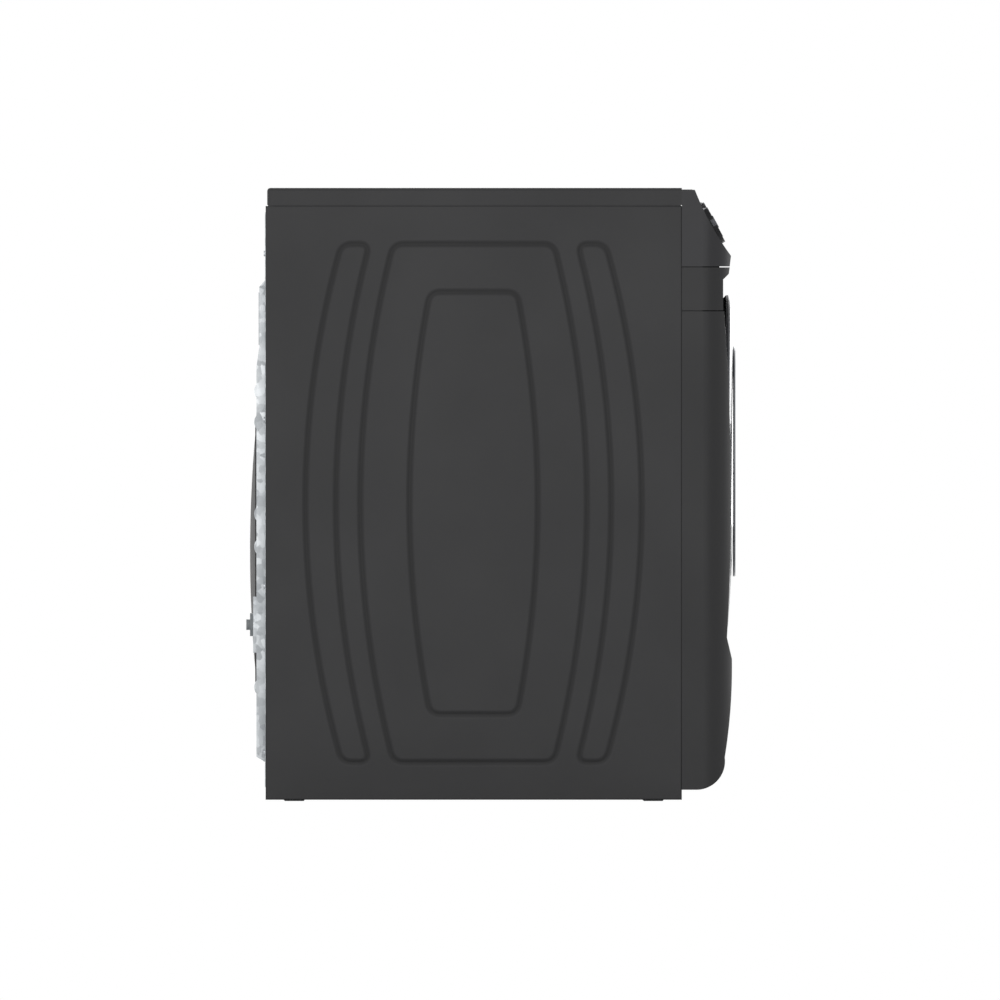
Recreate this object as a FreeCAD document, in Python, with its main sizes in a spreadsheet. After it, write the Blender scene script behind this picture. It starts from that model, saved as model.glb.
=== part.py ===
"""A front-loading clothes dryer, built the way the real one is put together.

Frame: +Z up, front towards -Y, origin on the floor under the middle of the overall box. Millimetres.
Every driving size sits once in the spreadsheet "Sizes"; each piece is bound to its cells.
"""
import FreeCAD, Part
import Sketcher
import math
import os
import re

Vector = FreeCAD.Vector
Rotation = FreeCAD.Rotation
Placement = FreeCAD.Placement

doc = FreeCAD.newDocument("ClothesDryer")

# ---------------------------------------------------------------- driving sizes, mm
SIZES = {
    # cabinet
    "cab_width": 686,        # across the outside of the side panels
    "cab_depth": 668,        # side panel, front edge to rear edge
    "cab_top": 955,          # height of the side panels' top edge
    "cab_lift": 2,           # cabinet edge above the floor, feet screwed in
    "back_edge": 361,        # rear edge of the side panels, behind the origin
    "sheet": 1.2,            # painted cabinet steel
    "flange": 22,            # folded returns of the side panels
    "top_rise": 29,          # height of the top panel
    "top_inset": 2.5,        # top panel stops short of the rear edge
    "top_round": 5.5,        # radius of the top panel's edges
    "seam": 1.5,             # shadow gap between outer panels
    # pressed frames of the side panels
    "press_mid": 27,         # middle of the frames, behind the origin
    "press_depth": 0.6,
    "press_line": 7,         # width of a pressed line
    "outer_low": 62,
    "outer_high": 894,
    "outer_half": 182,       # half width of the outer frame at its waist
    "outer_bow": 53,         # how far its sides bow out
    "inner_low": 139,
    "inner_high": 817,
    "inner_half": 103,
    "inner_bow": 33,
    "crescent_near": 221,    # crescent edges, from the middle of the frames
    "crescent_far": 270,
    "crescent_near_bow": 54,
    "crescent_far_bow": 58,
    # base and feet
    "base_high": 20,         # top of the base plate
    "base_sheet": 1.5,
    "foot_radius": 17,
    "foot_slack": 0.5,       # foot pad under the base plate, screwed in
    "nut_radius": 11,
    "nut_high": 12,
    "foot_in": 46,           # foot centre from the outer faces
    "stem_radius": 5,
    "stem_fit": 0.05,
    "stem_high": 62,
    # rear panel
    "rear_sheet": 1.0,
    "rear_edge": 8,          # flat rim, inside the side panels' faces
    "pan_side": 42,          # pressed pan starts this far inside the outer faces
    "pan_low": 62,
    "pan_high": 837,
    "pan_step": 713,         # height where the pan steps further out
    "pan_upper": 10.2,       # how far the pan stands out above and below the step
    "pan_lower": 14.7,
    "pan_slope": 16,         # half height of the sloped step
    "rib_high": 21,
    "rib_proud": 3.6,
    "rib_long": 66,
    "rib_end": 8,
    "rib_top": 658,
    "rib_shoulder": 608,
    "rib_middle": 461,
    "rib_lower": 408,
    "rib_foot": 183,
    "screw_head": 4.5,
    "screw_rise": 2,
    "screw_radius": 2,
    "screw_long": 8,
    "slot_x": 140,
    "slot_pitch": 15,
    "slot_wide": 6,
    "slot_low": 92,
    "slot_high": 166,
    "cover_z": 400,          # middle of the domed rear cover
    "cover_radius": 210,
    "cover_open": 190,
    "cover_rise": 10.3,
    "cover_wall": 2,
    # water inlet
    "valve_x": -250,
    "valve_z": 283,
    "valve_box_half": 45,
    "valve_box_proud": 5.3,
    "valve_flange": 18.5,
    "valve_flange_thick": 5,
    "valve_stub": 8.5,
    "valve_stub_long": 6,
    "valve_bore": 5,
    # terminal block and its cover
    "terminal_x": 245,
    "terminal_z": 774,
    "terminal_half": 42,
    "cord_hole": 11,
    # drum
    "drum_radius": 325,
    "drum_z": 560,
    "drum_sheet": 1,
    "drum_rib": 2,
    "drum_rib_wide": 14,
    "drum_rib_end": 55,      # outer ribs, from the drum's ends
    "drum_gap": 6,           # drum ends to the bulkheads
    "lifter_high": 62,
    "lifter_base": 64,
    "lifter_crest": 26,
    "lifter_wall": 3,
    "lifter_end": 60,        # lifter ends to the drum's ends
    "felt_gap": 0.4,
    "felt_thick": 6.6,
    "collar_deep": 24,       # bulkhead collars that carry the felts
    "bulkhead_sheet": 1.2,
    "bulkhead_low": 214,
    "bulkhead_high": 925,
    "front_bulkhead_in": 19, # bulkheads from the cabinet's front and rear edges
    "rear_bulkhead_in": 31,
    # rollers
    "roller_radius": 32,
    "roller_wide": 22,
    "roller_angle": 38,      # from straight down, round the drum's middle
    "roller_gap": 0.4,
    "axle_radius": 6,
    "axle_fit": 0.05,
    # door
    "door_z": 545,
    "door_radius": 267,
    "door_taper": 12,        # the ring's edge runs in towards the back
    "door_face": 85,         # crown of the door, ahead of the cabinet's front edge
    "door_back": 59,
    "crown_radius": 4000,
    "crown_z": 575,
    "door_wall": 2.5,
    "door_edge_round": 3,
    "door_gap": 5,           # between door and surround
    "window_radius": 180,
    "window_lip": 10,
    "window_seat": 77,       # back of the window, ahead of the cabinet's front edge
    "window_gap": 0.3,
    "opening_radius": 203,
    "collar_wall": 3,
    "plug_radius": 190,
    "plug_deep": 28,         # liner behind the door's back
    "liner_wall": 2.5,
    "inner_glass_radius": 165,
    "inner_glass_thick": 3,
    "floor_face": 45,        # floor of the door recess, ahead of the front edge
    "surround_wall": 2,
    "handle_inset": 43,         # finger pocket in the ring
    "handle_wide": 24,
    "handle_high": 120,
    "handle_deep": 15,
    # door hinge, strike, catch and switch
    "hinge_inset": 5,
    "hinge_face": 74,
    "knuckle_radius": 4.5,
    "knuckle_half": 20,
    "knuckle_gap": 1.5,
    "bracket_knuckle": 28,
    "pin_radius": 2.5,
    "pin_fit": 0.05,
    "leaf_long": 34,
    "leaf_thick": 3,
    "strike_inset": 36,
    "strike_thick": 4,
    "strike_high": 12,
    "strike_long": 24,
    "switch_z": 90,          # above the strike
    "switch_radius": 4,
    "switch_reach": 238,     # plunger from the door's middle
    "seal_in": 5,            # seal outside the opening's edge
    "seal_wide": 10,
    "seal_gap": 0.5,
    # front panel
    "front_top": 786,
    "front_low": 18,
    "front_top_face": 68,    # reach of the panel at its top edge
    "front_waist": 262,      # height where the panel starts to roll out below the door
    "front_waist_face": 72.5,
    "front_roll": 228,
    "front_roll_face": 80.5,
    "roll_radius": 900,      # bulge of the panel below the door
    "front_sheet": 1.5,
    "front_toe": 70,
    "front_toe_face": 69,
    "front_toe_round": 46,
    "front_corner": 48,      # plan radius of the front's upright edges
    "seam_back": 6,          # seams are closed this far behind the faces
    # console
    "console_top": 981,
    "console_band": 17,
    "console_lip": 4,        # flat top of the fascia before its slope
    "fascia_low": 858,
    "brow_z": 875,
    "brow_face": 79,
    "chin_face": 75.5,
    "chin_z": 846,
    "chin_flare": 1.4,
    "skirt_face": 66.4,
    "skirt_z": 837,
    "fascia_crown": 4,
    "fascia_bend": 458,      # radius of the fascia's crown
    "fascia_wall": 3,
    "dial_x": 0,
    "dial_radius": 27,
    "dial_dish": 34,
    "dial_deep": 14,
    "dial_fit": 0.5,
    "dial_shaft": 3,
    "display_x": 150,
    "display_long": 170,
    "display_high": 44,
    "lens_sunk": 1,
    "lens_thick": 3,
    "board_high": 40,
    "board_thick": 1.6,
    "button_long": 30,
    "button_high": 11,
    "button_gap": 0.4,
    "button_proud": 1.2,
    "button_travel": 1.2,
    "button_deep": 7,
    "button_pitch": 44,
    "button_start": 80,      # first option button, to the left of the dial
    "start_x": 262,
    "power_x": 304,
    "power_radius": 11,
    # lint screen and its duct
    "lint_half": 118,
    "lint_low": 215,
    "lint_thick": 18,
    "lint_face": 22,         # front of the lint screen, ahead of the front edge
    "lint_gap": 2,
    "lint_bar": 12,
    "lint_head": 18,
    "lint_grip": 32,
    "lint_grip_high": 14,
    "duct_wall": 2,
    "duct_face": 29,
    # motor, blower and exhaust
    "motor_x": -150,
    "motor_z": 118,
    "motor_radius": 60,
    "motor_long": 126,
    "motor_face": 107,       # front of the motor, behind the front edge
    "cradle_half": 46,
    "cradle_in": 22,
    "cradle_sheet": 3,
    "shaft_radius": 7,
    "pulley_radius": 10,
    "belt_face": 258,        # front of the belt, behind the front edge
    "belt_wide": 8,
    "belt_thick": 3,
    "belt_gap": 0.4,
    "wheel_radius": 74,
    "wheel_deep": 44,
    "scroll_radius": 86,
    "scroll_front": 17,      # front of the blower housing, behind the front edge
    "scroll_deep": 62,
    "inlet_radius": 56,
    "vent_x": 30,
    "vent_z": 124,
    "vent_radius": 50.8,
    "vent_wall": 0.8,
    "vent_clear": 56,
    "idler_radius": 20,
    "idler_wide": 12,
    "idler_place": 0.15,     # along the belt's slack run, from the pulley
    "idler_pin": 4,
    "idler_arm_long": 62,
    "pivot_pin": 5,
    "arm_thick": 3,
    "arm_half": 7,
    "spring_wire": 2,
    # heater
    "heater_x": 190,
    "heater_half": 62,
    "heater_low": 300,
    "heater_high": 640,
    "heater_deep": 24,
    "coil_radius": 4,
    "air_hole": 6,
    "air_pitch": 22,
}

sheet = doc.addObject("Spreadsheet::Sheet", "Sizes")
for row, (alias, value) in enumerate(SIZES.items(), start=1):
    sheet.set(f"A{row}", alias.replace("_", " "))
    sheet.set(f"B{row}", str(value))
    sheet.setAlias(f"B{row}", alias)
doc.recompute()

# planes and levels that many pieces share, as expressions of the driving sizes
HALF = "(cab_width / 2)"
INSIDE = "(cab_width / 2 - sheet)"
FRONT = "(back_edge - cab_depth)"


def ahead(text):
    """The y of something `text` ahead of the cabinet's front edge."""
    return f"({FRONT} - ({text}))"


def behind(text):
    """The y of something `text` behind the cabinet's front edge."""
    return f"({FRONT} + ({text}))"


# ---------------------------------------------------------------- helpers
def cell(text):
    """Point every size named in an expression at its cell of the sheet."""
    return re.sub(r"[a-z][a-z_]+", lambda word: "Sizes." * (word.group() in SIZES) + word.group(), str(text))


def value(text):
    """The number that an expression has with the sizes as they stand."""
    return float(sheet.evalExpression(cell(text)))


def bind(thing, prop, text):
    """Tie a property to an expression of the sheet's cells."""
    thing.setExpression(prop, cell(text))


def place(thing, base, turn=None):
    """Bind a placement's base to three expressions, with an optional fixed turn."""
    thing.Placement = Placement(Vector(), turn or Rotation())
    for axis, text in zip("xyz", base):
        bind(thing, f".Placement.Base.{axis}", text)


def block(name, low, high):
    """A box between two corners."""
    box = doc.addObject("Part::Box", name)
    for prop, axis, start, end in zip(("Length", "Width", "Height"), "xyz", low, high):
        bind(box, prop, f"({end}) - ({start})")
        bind(box, f".Placement.Base.{axis}", start)
    return box


TURNS = {"x": Rotation(Vector(0, 1, 0), 90), "y": Rotation(Vector(1, 0, 0), -90), "z": Rotation()}


def rod(name, axis, centre, radius, start, end):
    """A cylinder along an axis; centre holds the other two coordinates in x, y, z order."""
    bar = doc.addObject("Part::Cylinder", name)
    bind(bar, "Radius", radius)
    bind(bar, "Height", f"({end}) - ({start})")
    base = list(centre)
    base.insert("xyz".index(axis), start)
    place(bar, base, TURNS[axis])
    return bar


def fuse(name, *pieces):
    """All the pieces as one solid, or as one group where they stay apart."""
    whole = doc.addObject("Part::MultiFuse", name)
    whole.Shapes = list(pieces)
    whole.Refine = True
    return whole


def group(name, *pieces):
    """Separate solids kept in one node."""
    whole = doc.addObject("Part::Compound", name)
    whole.Links = list(pieces)
    return whole


def common(name, *pieces):
    """What the pieces share."""
    whole = doc.addObject("Part::MultiCommon", name)
    whole.Shapes = list(pieces)
    return whole


def cut(name, base, *tools):
    """The base with every tool taken out of it."""
    whole = doc.addObject("Part::Cut", name)
    whole.Base = base
    whole.Tool = tools[0] if len(tools) == 1 else fuse(name + "_cuts", *tools)
    return whole


def tube(name, axis, centre, outer, inner, start, end):
    """A round tube along an axis."""
    body = rod(name + "_outside", axis, centre, outer, start, end)
    return cut(name, body, rod(name + "_inside", axis, centre, inner, start, end))


PLANES = {"x": "YZ_Plane", "y": "XZ_Plane", "z": "XY_Plane"}


def outline(body, role, points):
    """A closed sketch through points; a point with a radius and a side starts an arc to the next one."""
    sketch = body.newObject("Sketcher::SketchObject", body.Name + "_outline")
    sketch.AttachmentSupport = (next(f for f in body.Origin.OriginFeatures if f.Role == role), "")
    sketch.MapMode = "FlatFace"
    corners = [Vector(value(point[0]), value(point[1]), 0) for point in points]
    ends = []
    for index, point in enumerate(points):
        start = corners[index]
        end = corners[(index + 1) % len(corners)]
        if len(point) == 2:
            sketch.addGeometry(Part.LineSegment(start, end))
            ends.append((1, 2))
            continue
        chord = end - start
        radius = value(point[2])
        sag = radius - math.sqrt(radius ** 2 - (chord.Length / 2) ** 2)
        side = Vector(chord.y, -chord.x, 0).normalize() * point[3]
        sketch.addGeometry(Part.Arc(start, (start + end) / 2 + side * sag, end))
        runs_on = (sketch.Geometry[index].StartPoint - start).Length < 1e-6
        ends.append((1, 2) if runs_on else (2, 1))
        hold = sketch.addConstraint(Sketcher.Constraint("Radius", index, radius))
        bind(sketch, f"Constraints[{hold}]", point[2])
    for index, point in enumerate(points):
        after = (index + 1) % len(points)
        sketch.addConstraint(Sketcher.Constraint("Coincident", index, ends[index][1], after, ends[after][0]))
        for kind, text, start in (("DistanceX", point[0], corners[index].x),
                                  ("DistanceY", point[1], corners[index].y)):
            hold = sketch.addConstraint(Sketcher.Constraint(kind, -1, 1, index, ends[index][0], start))
            bind(sketch, f"Constraints[{hold}]", text)
    return sketch


def prism(name, axis, points, start, end):
    """An outline in the plane across an axis, padded from start to end along it."""
    body = doc.addObject("PartDesign::Body", name)
    sketch = outline(body, PLANES[axis], points)
    bind(sketch, ".AttachmentOffset.Base.z", f"-({end})" if axis == "y" else start)
    pad = body.newObject("PartDesign::Pad", name + "_pad")
    pad.Profile = sketch
    bind(pad, "Length", f"({end}) - ({start})")
    return body


def turned(name, axis, centre, points):
    """A turned piece: points are (radius, place along the axis); centre as for a rod."""
    body = doc.addObject("PartDesign::Body", name)
    flat = [(point[1], point[0]) + tuple(point[2:]) for point in points] if axis == "x" else points
    sketch = outline(body, "XZ_Plane" if axis == "z" else "XY_Plane", flat)
    turn = body.newObject("PartDesign::Revolution", name + "_turn")
    turn.Profile = sketch
    turn.ReferenceAxis = (sketch, ["H_Axis" if axis == "x" else "V_Axis"])
    turn.Angle = 360
    base = list(centre)
    base.insert("xyz".index(axis), 0)
    place(body, base)
    return body


NODES = []


def node(thing):
    """Keep an object as a piece of the dryer; its label names the file."""
    NODES.append(thing)
    return thing


# ---------------------------------------------------------------- side panels
def bowed_frame(name, low, high, half, bow, shrink="0"):
    """A barrel outline as a shallow tool: level top and bottom, bowed sides, drawn in by shrink."""
    tall = f"(({high} - {low}) / 2)"
    bend = f"(({tall} ^ 2 + {bow} ^ 2) / (2 * {bow}))"
    level = f"({high} + {low}) / 2"
    start, end = f"-{HALF} - 1", f"-{HALF} + press_depth"
    slab = block(name + "_slab", (start, f"press_mid - {half} + {shrink}", f"{low} + {shrink}"),
                 (end, f"press_mid + {half} - {shrink}", f"{high} - {shrink}"))
    rear = rod(name + "_rear", "x", (f"press_mid + {half} - {bend}", level), f"{bend} - {shrink}", start, end)
    front = rod(name + "_front", "x", (f"press_mid - {half} + {bend}", level), f"{bend} - {shrink}", start, end)
    return common(name, slab, rear, front)


def pressed_line(name, low, high, half, bow):
    """The pressed line that runs round a bowed frame."""
    return cut(name, bowed_frame(name + "_out", low, high, half, bow),
               bowed_frame(name + "_in", low, high, half, bow, "press_line"))


def crescents(name, grow):
    """The two crescents beside the frames, each edge drawn in by grow."""
    return cut(name, bowed_frame(name + "_far", "outer_low", "outer_high", "crescent_far", "crescent_far_bow", grow),
               bowed_frame(name + "_near", "outer_low", "outer_high", "crescent_near", "crescent_near_bow",
                           f"(0 - {grow})"))


screw_levels = [f"cab_lift + {share} * (cab_top - cab_lift)" for share in (0.08, 0.36, 0.64, 0.92)]


def rear_screws(name, side, radius, start, end):
    """Rods at the rear panel's screws on one side."""
    across = f"{side} * ({HALF} - flange / 2 - rear_edge / 2)"
    return [rod(f"{name}_{number}", "y", (across, level), radius, start, end)
            for number, level in enumerate(screw_levels)]


skin = block("side_skin", (f"-{HALF}", FRONT, "cab_lift"), (f"-{INSIDE}", "back_edge", "cab_top"))
front_return = block("side_front_return", (f"-{HALF}", FRONT, "cab_lift"),
                     (f"-{HALF} + flange", f"{FRONT} + sheet", "cab_top"))
rear_return = block("side_rear_return", (f"-{HALF}", "back_edge - sheet", "cab_lift"),
                    (f"-{HALF} + flange", "back_edge", "cab_top"))
floor_return = block("side_floor_return", (f"-{HALF}", FRONT, "cab_lift"),
                     (f"-{HALF} + flange", "back_edge", "cab_lift + sheet"))
left_panel = node(cut(
    "left_side_panel",
    fuse("side_folded", skin, front_return, rear_return, floor_return),
    pressed_line("outer_line", "outer_low", "outer_high", "outer_half", "outer_bow"),
    pressed_line("inner_line", "inner_low", "inner_high", "inner_half", "inner_bow"),
    cut("crescent_line", crescents("crescent_out", "0"), crescents("crescent_in", "press_line")),
    *rear_screws("side_screw_hole", "-1", "screw_radius", "back_edge - 2 * sheet", "back_edge + sheet")))
right_panel = node(doc.addObject("Part::Mirroring", "right_side_panel"))
right_panel.Source = left_panel
right_panel.Normal = Vector(1, 0, 0)

# ---------------------------------------------------------------- base pan and levelling feet
foot_places = {
    f"{end}_{side}": (f"{sign} * ({HALF} - foot_in)", across)
    for end, across in (("front", f"{FRONT} + foot_in"), ("rear", "back_edge - foot_in"))
    for side, sign in (("left", "-1"), ("right", "1"))}
pan_front, pan_back = f"{FRONT} + sheet", "back_edge - sheet"
pan_plate = block("base_plate", (f"-{INSIDE}", pan_front, "base_high - base_sheet"),
                  (INSIDE, pan_back, "base_high"))
pan_skirt = cut(
    "base_skirt",
    block("base_skirt_out", (f"-{INSIDE}", pan_front, "cab_lift + sheet"), (INSIDE, pan_back, "base_high")),
    block("base_skirt_in", (f"-{INSIDE} + base_sheet", f"{pan_front} + base_sheet", "cab_lift"),
          (f"{INSIDE} - base_sheet", f"{pan_back} - base_sheet", "base_high")))
nuts = [rod(f"foot_nut_{spot}", "z", centre, "nut_radius", "base_high", "base_high + nut_high")
        for spot, centre in foot_places.items()]
stem_holes = [rod(f"stem_hole_{spot}", "z", centre, "stem_radius + stem_fit", "0", "base_high + nut_high + 1")
              for spot, centre in foot_places.items()]
MOTOR = ("motor_x", "motor_z")
motor_start, motor_end = behind("motor_face"), behind("motor_face + motor_long")


def cradle_plate(name, start):
    """A sheet foot that holds the motor up from the base."""
    return block(name, ("motor_x - cradle_half", start, "base_high"),
                 ("motor_x + cradle_half", f"{start} + cradle_sheet", "motor_z"))


cradle = cut(
    "cradle",
    fuse("cradle_folded", cradle_plate("cradle_front", f"{motor_start} + cradle_in"),
         cradle_plate("cradle_rear", f"{motor_end} - cradle_in - cradle_sheet"),
         block("cradle_base", ("motor_x - cradle_half", f"{motor_start} + cradle_in", "base_high"),
               ("motor_x + cradle_half", f"{motor_end} - cradle_in", "base_high + cradle_sheet"))),
    rod("cradle_seat", "y", MOTOR, "motor_radius", motor_start, motor_end))
node(cut("base_pan", fuse("base_folded", pan_plate, pan_skirt, cradle, *nuts), *stem_holes))

pad_top = "base_high - base_sheet - foot_slack"
for spot, centre in foot_places.items():
    node(turned(f"foot_{spot}", "z", centre, [
        ("0", "0"), ("foot_radius - 2", "0"), ("foot_radius", "2"), ("foot_radius", f"{pad_top} - 5"),
        ("foot_radius - 5", pad_top), ("stem_radius", pad_top), ("stem_radius", "stem_high - 1"),
        ("stem_radius - 1", "stem_high"), ("0", "stem_high")]))


# ---------------------------------------------------------------- top panel
def rounded(name, base, radius, wanted):
    """The base with a fillet on each edge that the test accepts."""
    doc.recompute()
    fillet = doc.addObject("Part::Fillet", name)
    fillet.Base = base
    size = value(radius)
    fillet.Edges = [(number, size, size) for number, edge in enumerate(base.Shape.Edges, start=1) if wanted(edge)]
    return fillet


top_low, top_high = "cab_top + seam", "cab_top + top_rise"
top_back = "back_edge - top_inset"
top_block = block("top_block", (f"-{HALF}", FRONT, top_low), (HALF, top_back, top_high))


def is_top_edge(edge):
    """The upper edges at the sides and rear, and the upright rear corners."""
    middle = edge.CenterOfMass
    high = middle.z > value(top_high) - 1e-3
    rear = middle.y > value(top_back) - 1e-3
    aside = abs(middle.x) > value(HALF) - 1e-3
    return (high and (rear or aside)) or (rear and aside)


top_lip = cut(
    "top_lip",
    block("top_lip_out", (f"-{INSIDE}", f"{FRONT} + sheet", "cab_top - 10"),
          (INSIDE, f"{top_back} - sheet", f"{top_high} - sheet")),
    block("top_lip_in", (f"-{INSIDE} + sheet", f"{FRONT} + 2 * sheet", "cab_top - 11"),
          (f"{INSIDE} - sheet", f"{top_back} - 2 * sheet", f"{top_high} - sheet")))
top_shell = cut(
    "top_shell", rounded("top_rounded", top_block, "top_round", is_top_edge),
    block("top_hollow", (f"-{HALF} + sheet", f"{FRONT} + sheet", f"{top_low} - 1"),
          (f"{HALF} - sheet", f"{top_back} - sheet", f"{top_high} - 2 * sheet")))
node(fuse("top_panel", top_shell, top_lip))

# ---------------------------------------------------------------- rear panel, its cover, box and screws
PAN_SIDE = f"({HALF} - pan_side)"
UPPER = "(back_edge + pan_upper)"
LOWER = "(back_edge + pan_lower)"


def pan_profile(inward, root):
    """Side profile of the pressed pan, drawn in towards the cabinet by inward."""
    return [
        (root, "pan_low"), (f"back_edge - {inward}", "pan_low"), (f"{LOWER} - {inward}", "pan_low + 9"),
        (f"{LOWER} - {inward}", "pan_step - pan_slope"), (f"{UPPER} - {inward}", "pan_step + pan_slope"),
        (f"{UPPER} - {inward}", "pan_high - 12"), (f"back_edge - {inward}", "pan_high"), (root, "pan_high")]


rear_flat = block("rear_flat", (f"-{HALF} + rear_edge", "back_edge", "base_high + 2"),
                  (f"{HALF} - rear_edge", "back_edge + rear_sheet", "cab_top - 10"))
rear_pan = prism("rear_pan", "x", pan_profile("0", "back_edge - 0.01"), f"-{PAN_SIDE}", PAN_SIDE)
pan_hollow = prism("pan_hollow", "x", pan_profile("rear_sheet", "back_edge - 3"),
                   f"-{PAN_SIDE} + rear_sheet", f"{PAN_SIDE} - rear_sheet")
RIB_BEND = "((rib_high ^ 2 / 4 + rib_proud ^ 2) / (2 * rib_proud))"


def rib(name, level, start, end):
    """A pressed bead standing proud of the pan's lower face."""
    bead = rod(name + "_round", "x", (f"{LOWER} + rib_proud - {RIB_BEND}", level), RIB_BEND, start, end)
    face = block(name + "_face", (start, f"{LOWER} - rear_sheet / 2", f"{level} - rib_high"),
                 (end, f"{LOWER} + rib_proud", f"{level} + rib_high"))
    return common(name, bead, face)


outer_end, inner_end = f"({PAN_SIDE} - rib_end)", f"({PAN_SIDE} - rib_end - rib_long)"
ribs = [rib("bead_across", "rib_top", f"-{outer_end}", outer_end)]
for level in ("rib_shoulder", "rib_middle", "rib_lower", "rib_foot"):
    ribs.append(rib(f"bead_left_{level}", level, f"-{outer_end}", f"-{inner_end}"))
    ribs.append(rib(f"bead_right_{level}", level, inner_end, outer_end))
box_face = f"({LOWER} + valve_box_proud)"
valve_box = cut(
    "valve_box",
    block("valve_box_out", ("valve_x - valve_box_half", LOWER, "valve_z - valve_box_half"),
          ("valve_x + valve_box_half", box_face, "valve_z + valve_box_half")),
    block("valve_hollow", ("valve_x - valve_box_half + rear_sheet", f"{LOWER} - 1",
                           "valve_z - valve_box_half + rear_sheet"),
          ("valve_x + valve_box_half - rear_sheet", f"{box_face} - rear_sheet",
           "valve_z + valve_box_half - rear_sheet")))
terminal_low = ("terminal_x - terminal_half + 8", "back_edge - 5", "terminal_z - terminal_half + 14")
terminal_high = (f"terminal_x + terminal_half - 8", f"{LOWER} + 5", "terminal_z + terminal_half - 14")
slots = [block(f"air_slot_{number}", (f"slot_x + {number} * slot_pitch", "back_edge - 2", "slot_low"),
               (f"slot_x + {number} * slot_pitch + slot_wide", f"{LOWER} + 2", "slot_high"))
         for number in range(7)]
hole_start, hole_end = "back_edge - 6", f"{LOWER} + 6"
rear_holes = [
    rod("vent_hole", "y", ("vent_x", "vent_z"), "vent_clear", hole_start, hole_end),
    rod("cover_hole", "y", ("0", "cover_z"), "cover_open", hole_start, hole_end),
    rod("valve_hole", "y", ("valve_x", "valve_z"), "valve_flange - 4", hole_start, hole_end),
    block("terminal_hole", terminal_low, terminal_high)]
for side, name in (("-1", "left"), ("1", "right")):
    rear_holes += rear_screws(f"rear_hole_{name}", side, "screw_radius", "back_edge - 1", "back_edge + 3")
node(cut("rear_panel", fuse("rear_pressed", cut("rear_sheet_metal", fuse("rear_outer", rear_flat, rear_pan),
                                                pan_hollow), *ribs, valve_box), *rear_holes, *slots))
screws = []
for side, name in (("-1", "left"), ("1", "right")):
    shanks = rear_screws(f"screw_shank_{name}", side, "screw_radius", "back_edge + rear_sheet - screw_long",
                         "back_edge + rear_sheet")
    heads = rear_screws(f"screw_head_{name}", side, "screw_head", "back_edge + rear_sheet",
                        "back_edge + rear_sheet + screw_rise")
    screws += [fuse(f"screw_{name}_{number}", shank, head)
               for number, (shank, head) in enumerate(zip(shanks, heads))]
node(group("panel_screws", *screws))


def ball(name, radius, centre):
    """A whole sphere."""
    sphere = doc.addObject("Part::Sphere", name)
    bind(sphere, "Radius", radius)
    place(sphere, centre)
    return sphere


DOME = "((cover_radius ^ 2 + cover_rise ^ 2) / (2 * cover_rise))"
dome_centre = ("0", f"{LOWER} + cover_rise - {DOME}", "cover_z")
cover_disc = rod("cover_disc", "y", ("0", "cover_z"), "cover_radius", LOWER, f"{LOWER} + cover_rise + 1")
cover_rim = tube("cover_rim", "y", ("0", "cover_z"), "cover_radius", "cover_radius - 8", LOWER,
                 f"{LOWER} + cover_wall")
cover_hollow = rod("cover_hollow", "y", ("0", "cover_z"), "cover_open", LOWER, f"{LOWER} + cover_rise")
node(fuse("rear_cover", cover_rim, cut(
    "cover_cap", common("cover_dome", cover_disc, ball("cover_ball", DOME, dome_centre)),
    common("cover_under", cover_hollow, ball("cover_ball_in", f"{DOME} - cover_wall", dome_centre)))))

# water valve; only its inlet stub and flange stand out of the raised box
valve_neck = "valve_flange - 5"
flange_face = f"{box_face} + valve_flange_thick"
stub_face = f"({flange_face} + valve_stub_long)"
valve_turned = turned("valve_turned", "y", ("valve_x", "valve_z"), [
    ("valve_bore", f"{stub_face} - 22"), ("valve_bore", stub_face), ("valve_stub", stub_face),
    ("valve_stub", flange_face), ("valve_flange", flange_face), ("valve_flange", box_face),
    (valve_neck, box_face), (valve_neck, "back_edge - 4"), ("0", "back_edge - 4"), ("0", f"{stub_face} - 22")])
valve_coil = block("valve_coil", ("valve_x - 17", "back_edge - 26", "valve_z - 17"),
                   ("valve_x + 17", "back_edge - 4", "valve_z + 40"))
node(fuse("water_valve", valve_turned, valve_coil))

# terminal block and its cover plate with the cord hole
terminal_face = ("terminal_x - terminal_half", UPPER, "terminal_z - terminal_half")
terminal_out = ("terminal_x + terminal_half", f"{UPPER} + rear_sheet", "terminal_z + terminal_half")
cord_centre = ("terminal_x", "terminal_z - terminal_half / 4")
node(cut("terminal_cover", block("terminal_plate", terminal_face, terminal_out),
         rod("cord_opening", "y", cord_centre, "cord_hole", hole_start, hole_end)))
terminal_body = block("terminal_body", ("terminal_x - 30", "back_edge - 14", "terminal_z + 6"),
                      ("terminal_x + 30", UPPER + " - 4", "terminal_z + 26"))
terminal_posts = [rod(f"terminal_post_{number}", "y", (f"terminal_x + {number} * 20", "terminal_z + 16"), "4",
                      f"{UPPER} - 4", f"{UPPER} - 1") for number in (-1, 0, 1)]
terminal_ledge = block("terminal_ledge", ("terminal_x - 40", "back_edge - 14", "terminal_z + 26"),
                       ("terminal_x + 40", "back_edge + rear_sheet", "terminal_z + 30"))
node(fuse("terminal_block", terminal_body, terminal_ledge, *terminal_posts))

# ---------------------------------------------------------------- bulkheads, felts and the drum
FRONT_PLATE = behind("front_bulkhead_in")
FRONT_PLATE_BACK = behind("front_bulkhead_in + bulkhead_sheet")
REAR_PLATE = "(back_edge - rear_bulkhead_in)"
REAR_PLATE_BACK = "(back_edge - rear_bulkhead_in + bulkhead_sheet)"
DRUM_AXIS = ("0", "drum_z")
FELT_OUT = "(drum_radius - drum_sheet - felt_gap)"
FELT_IN = f"({FELT_OUT} - felt_thick)"


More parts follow.
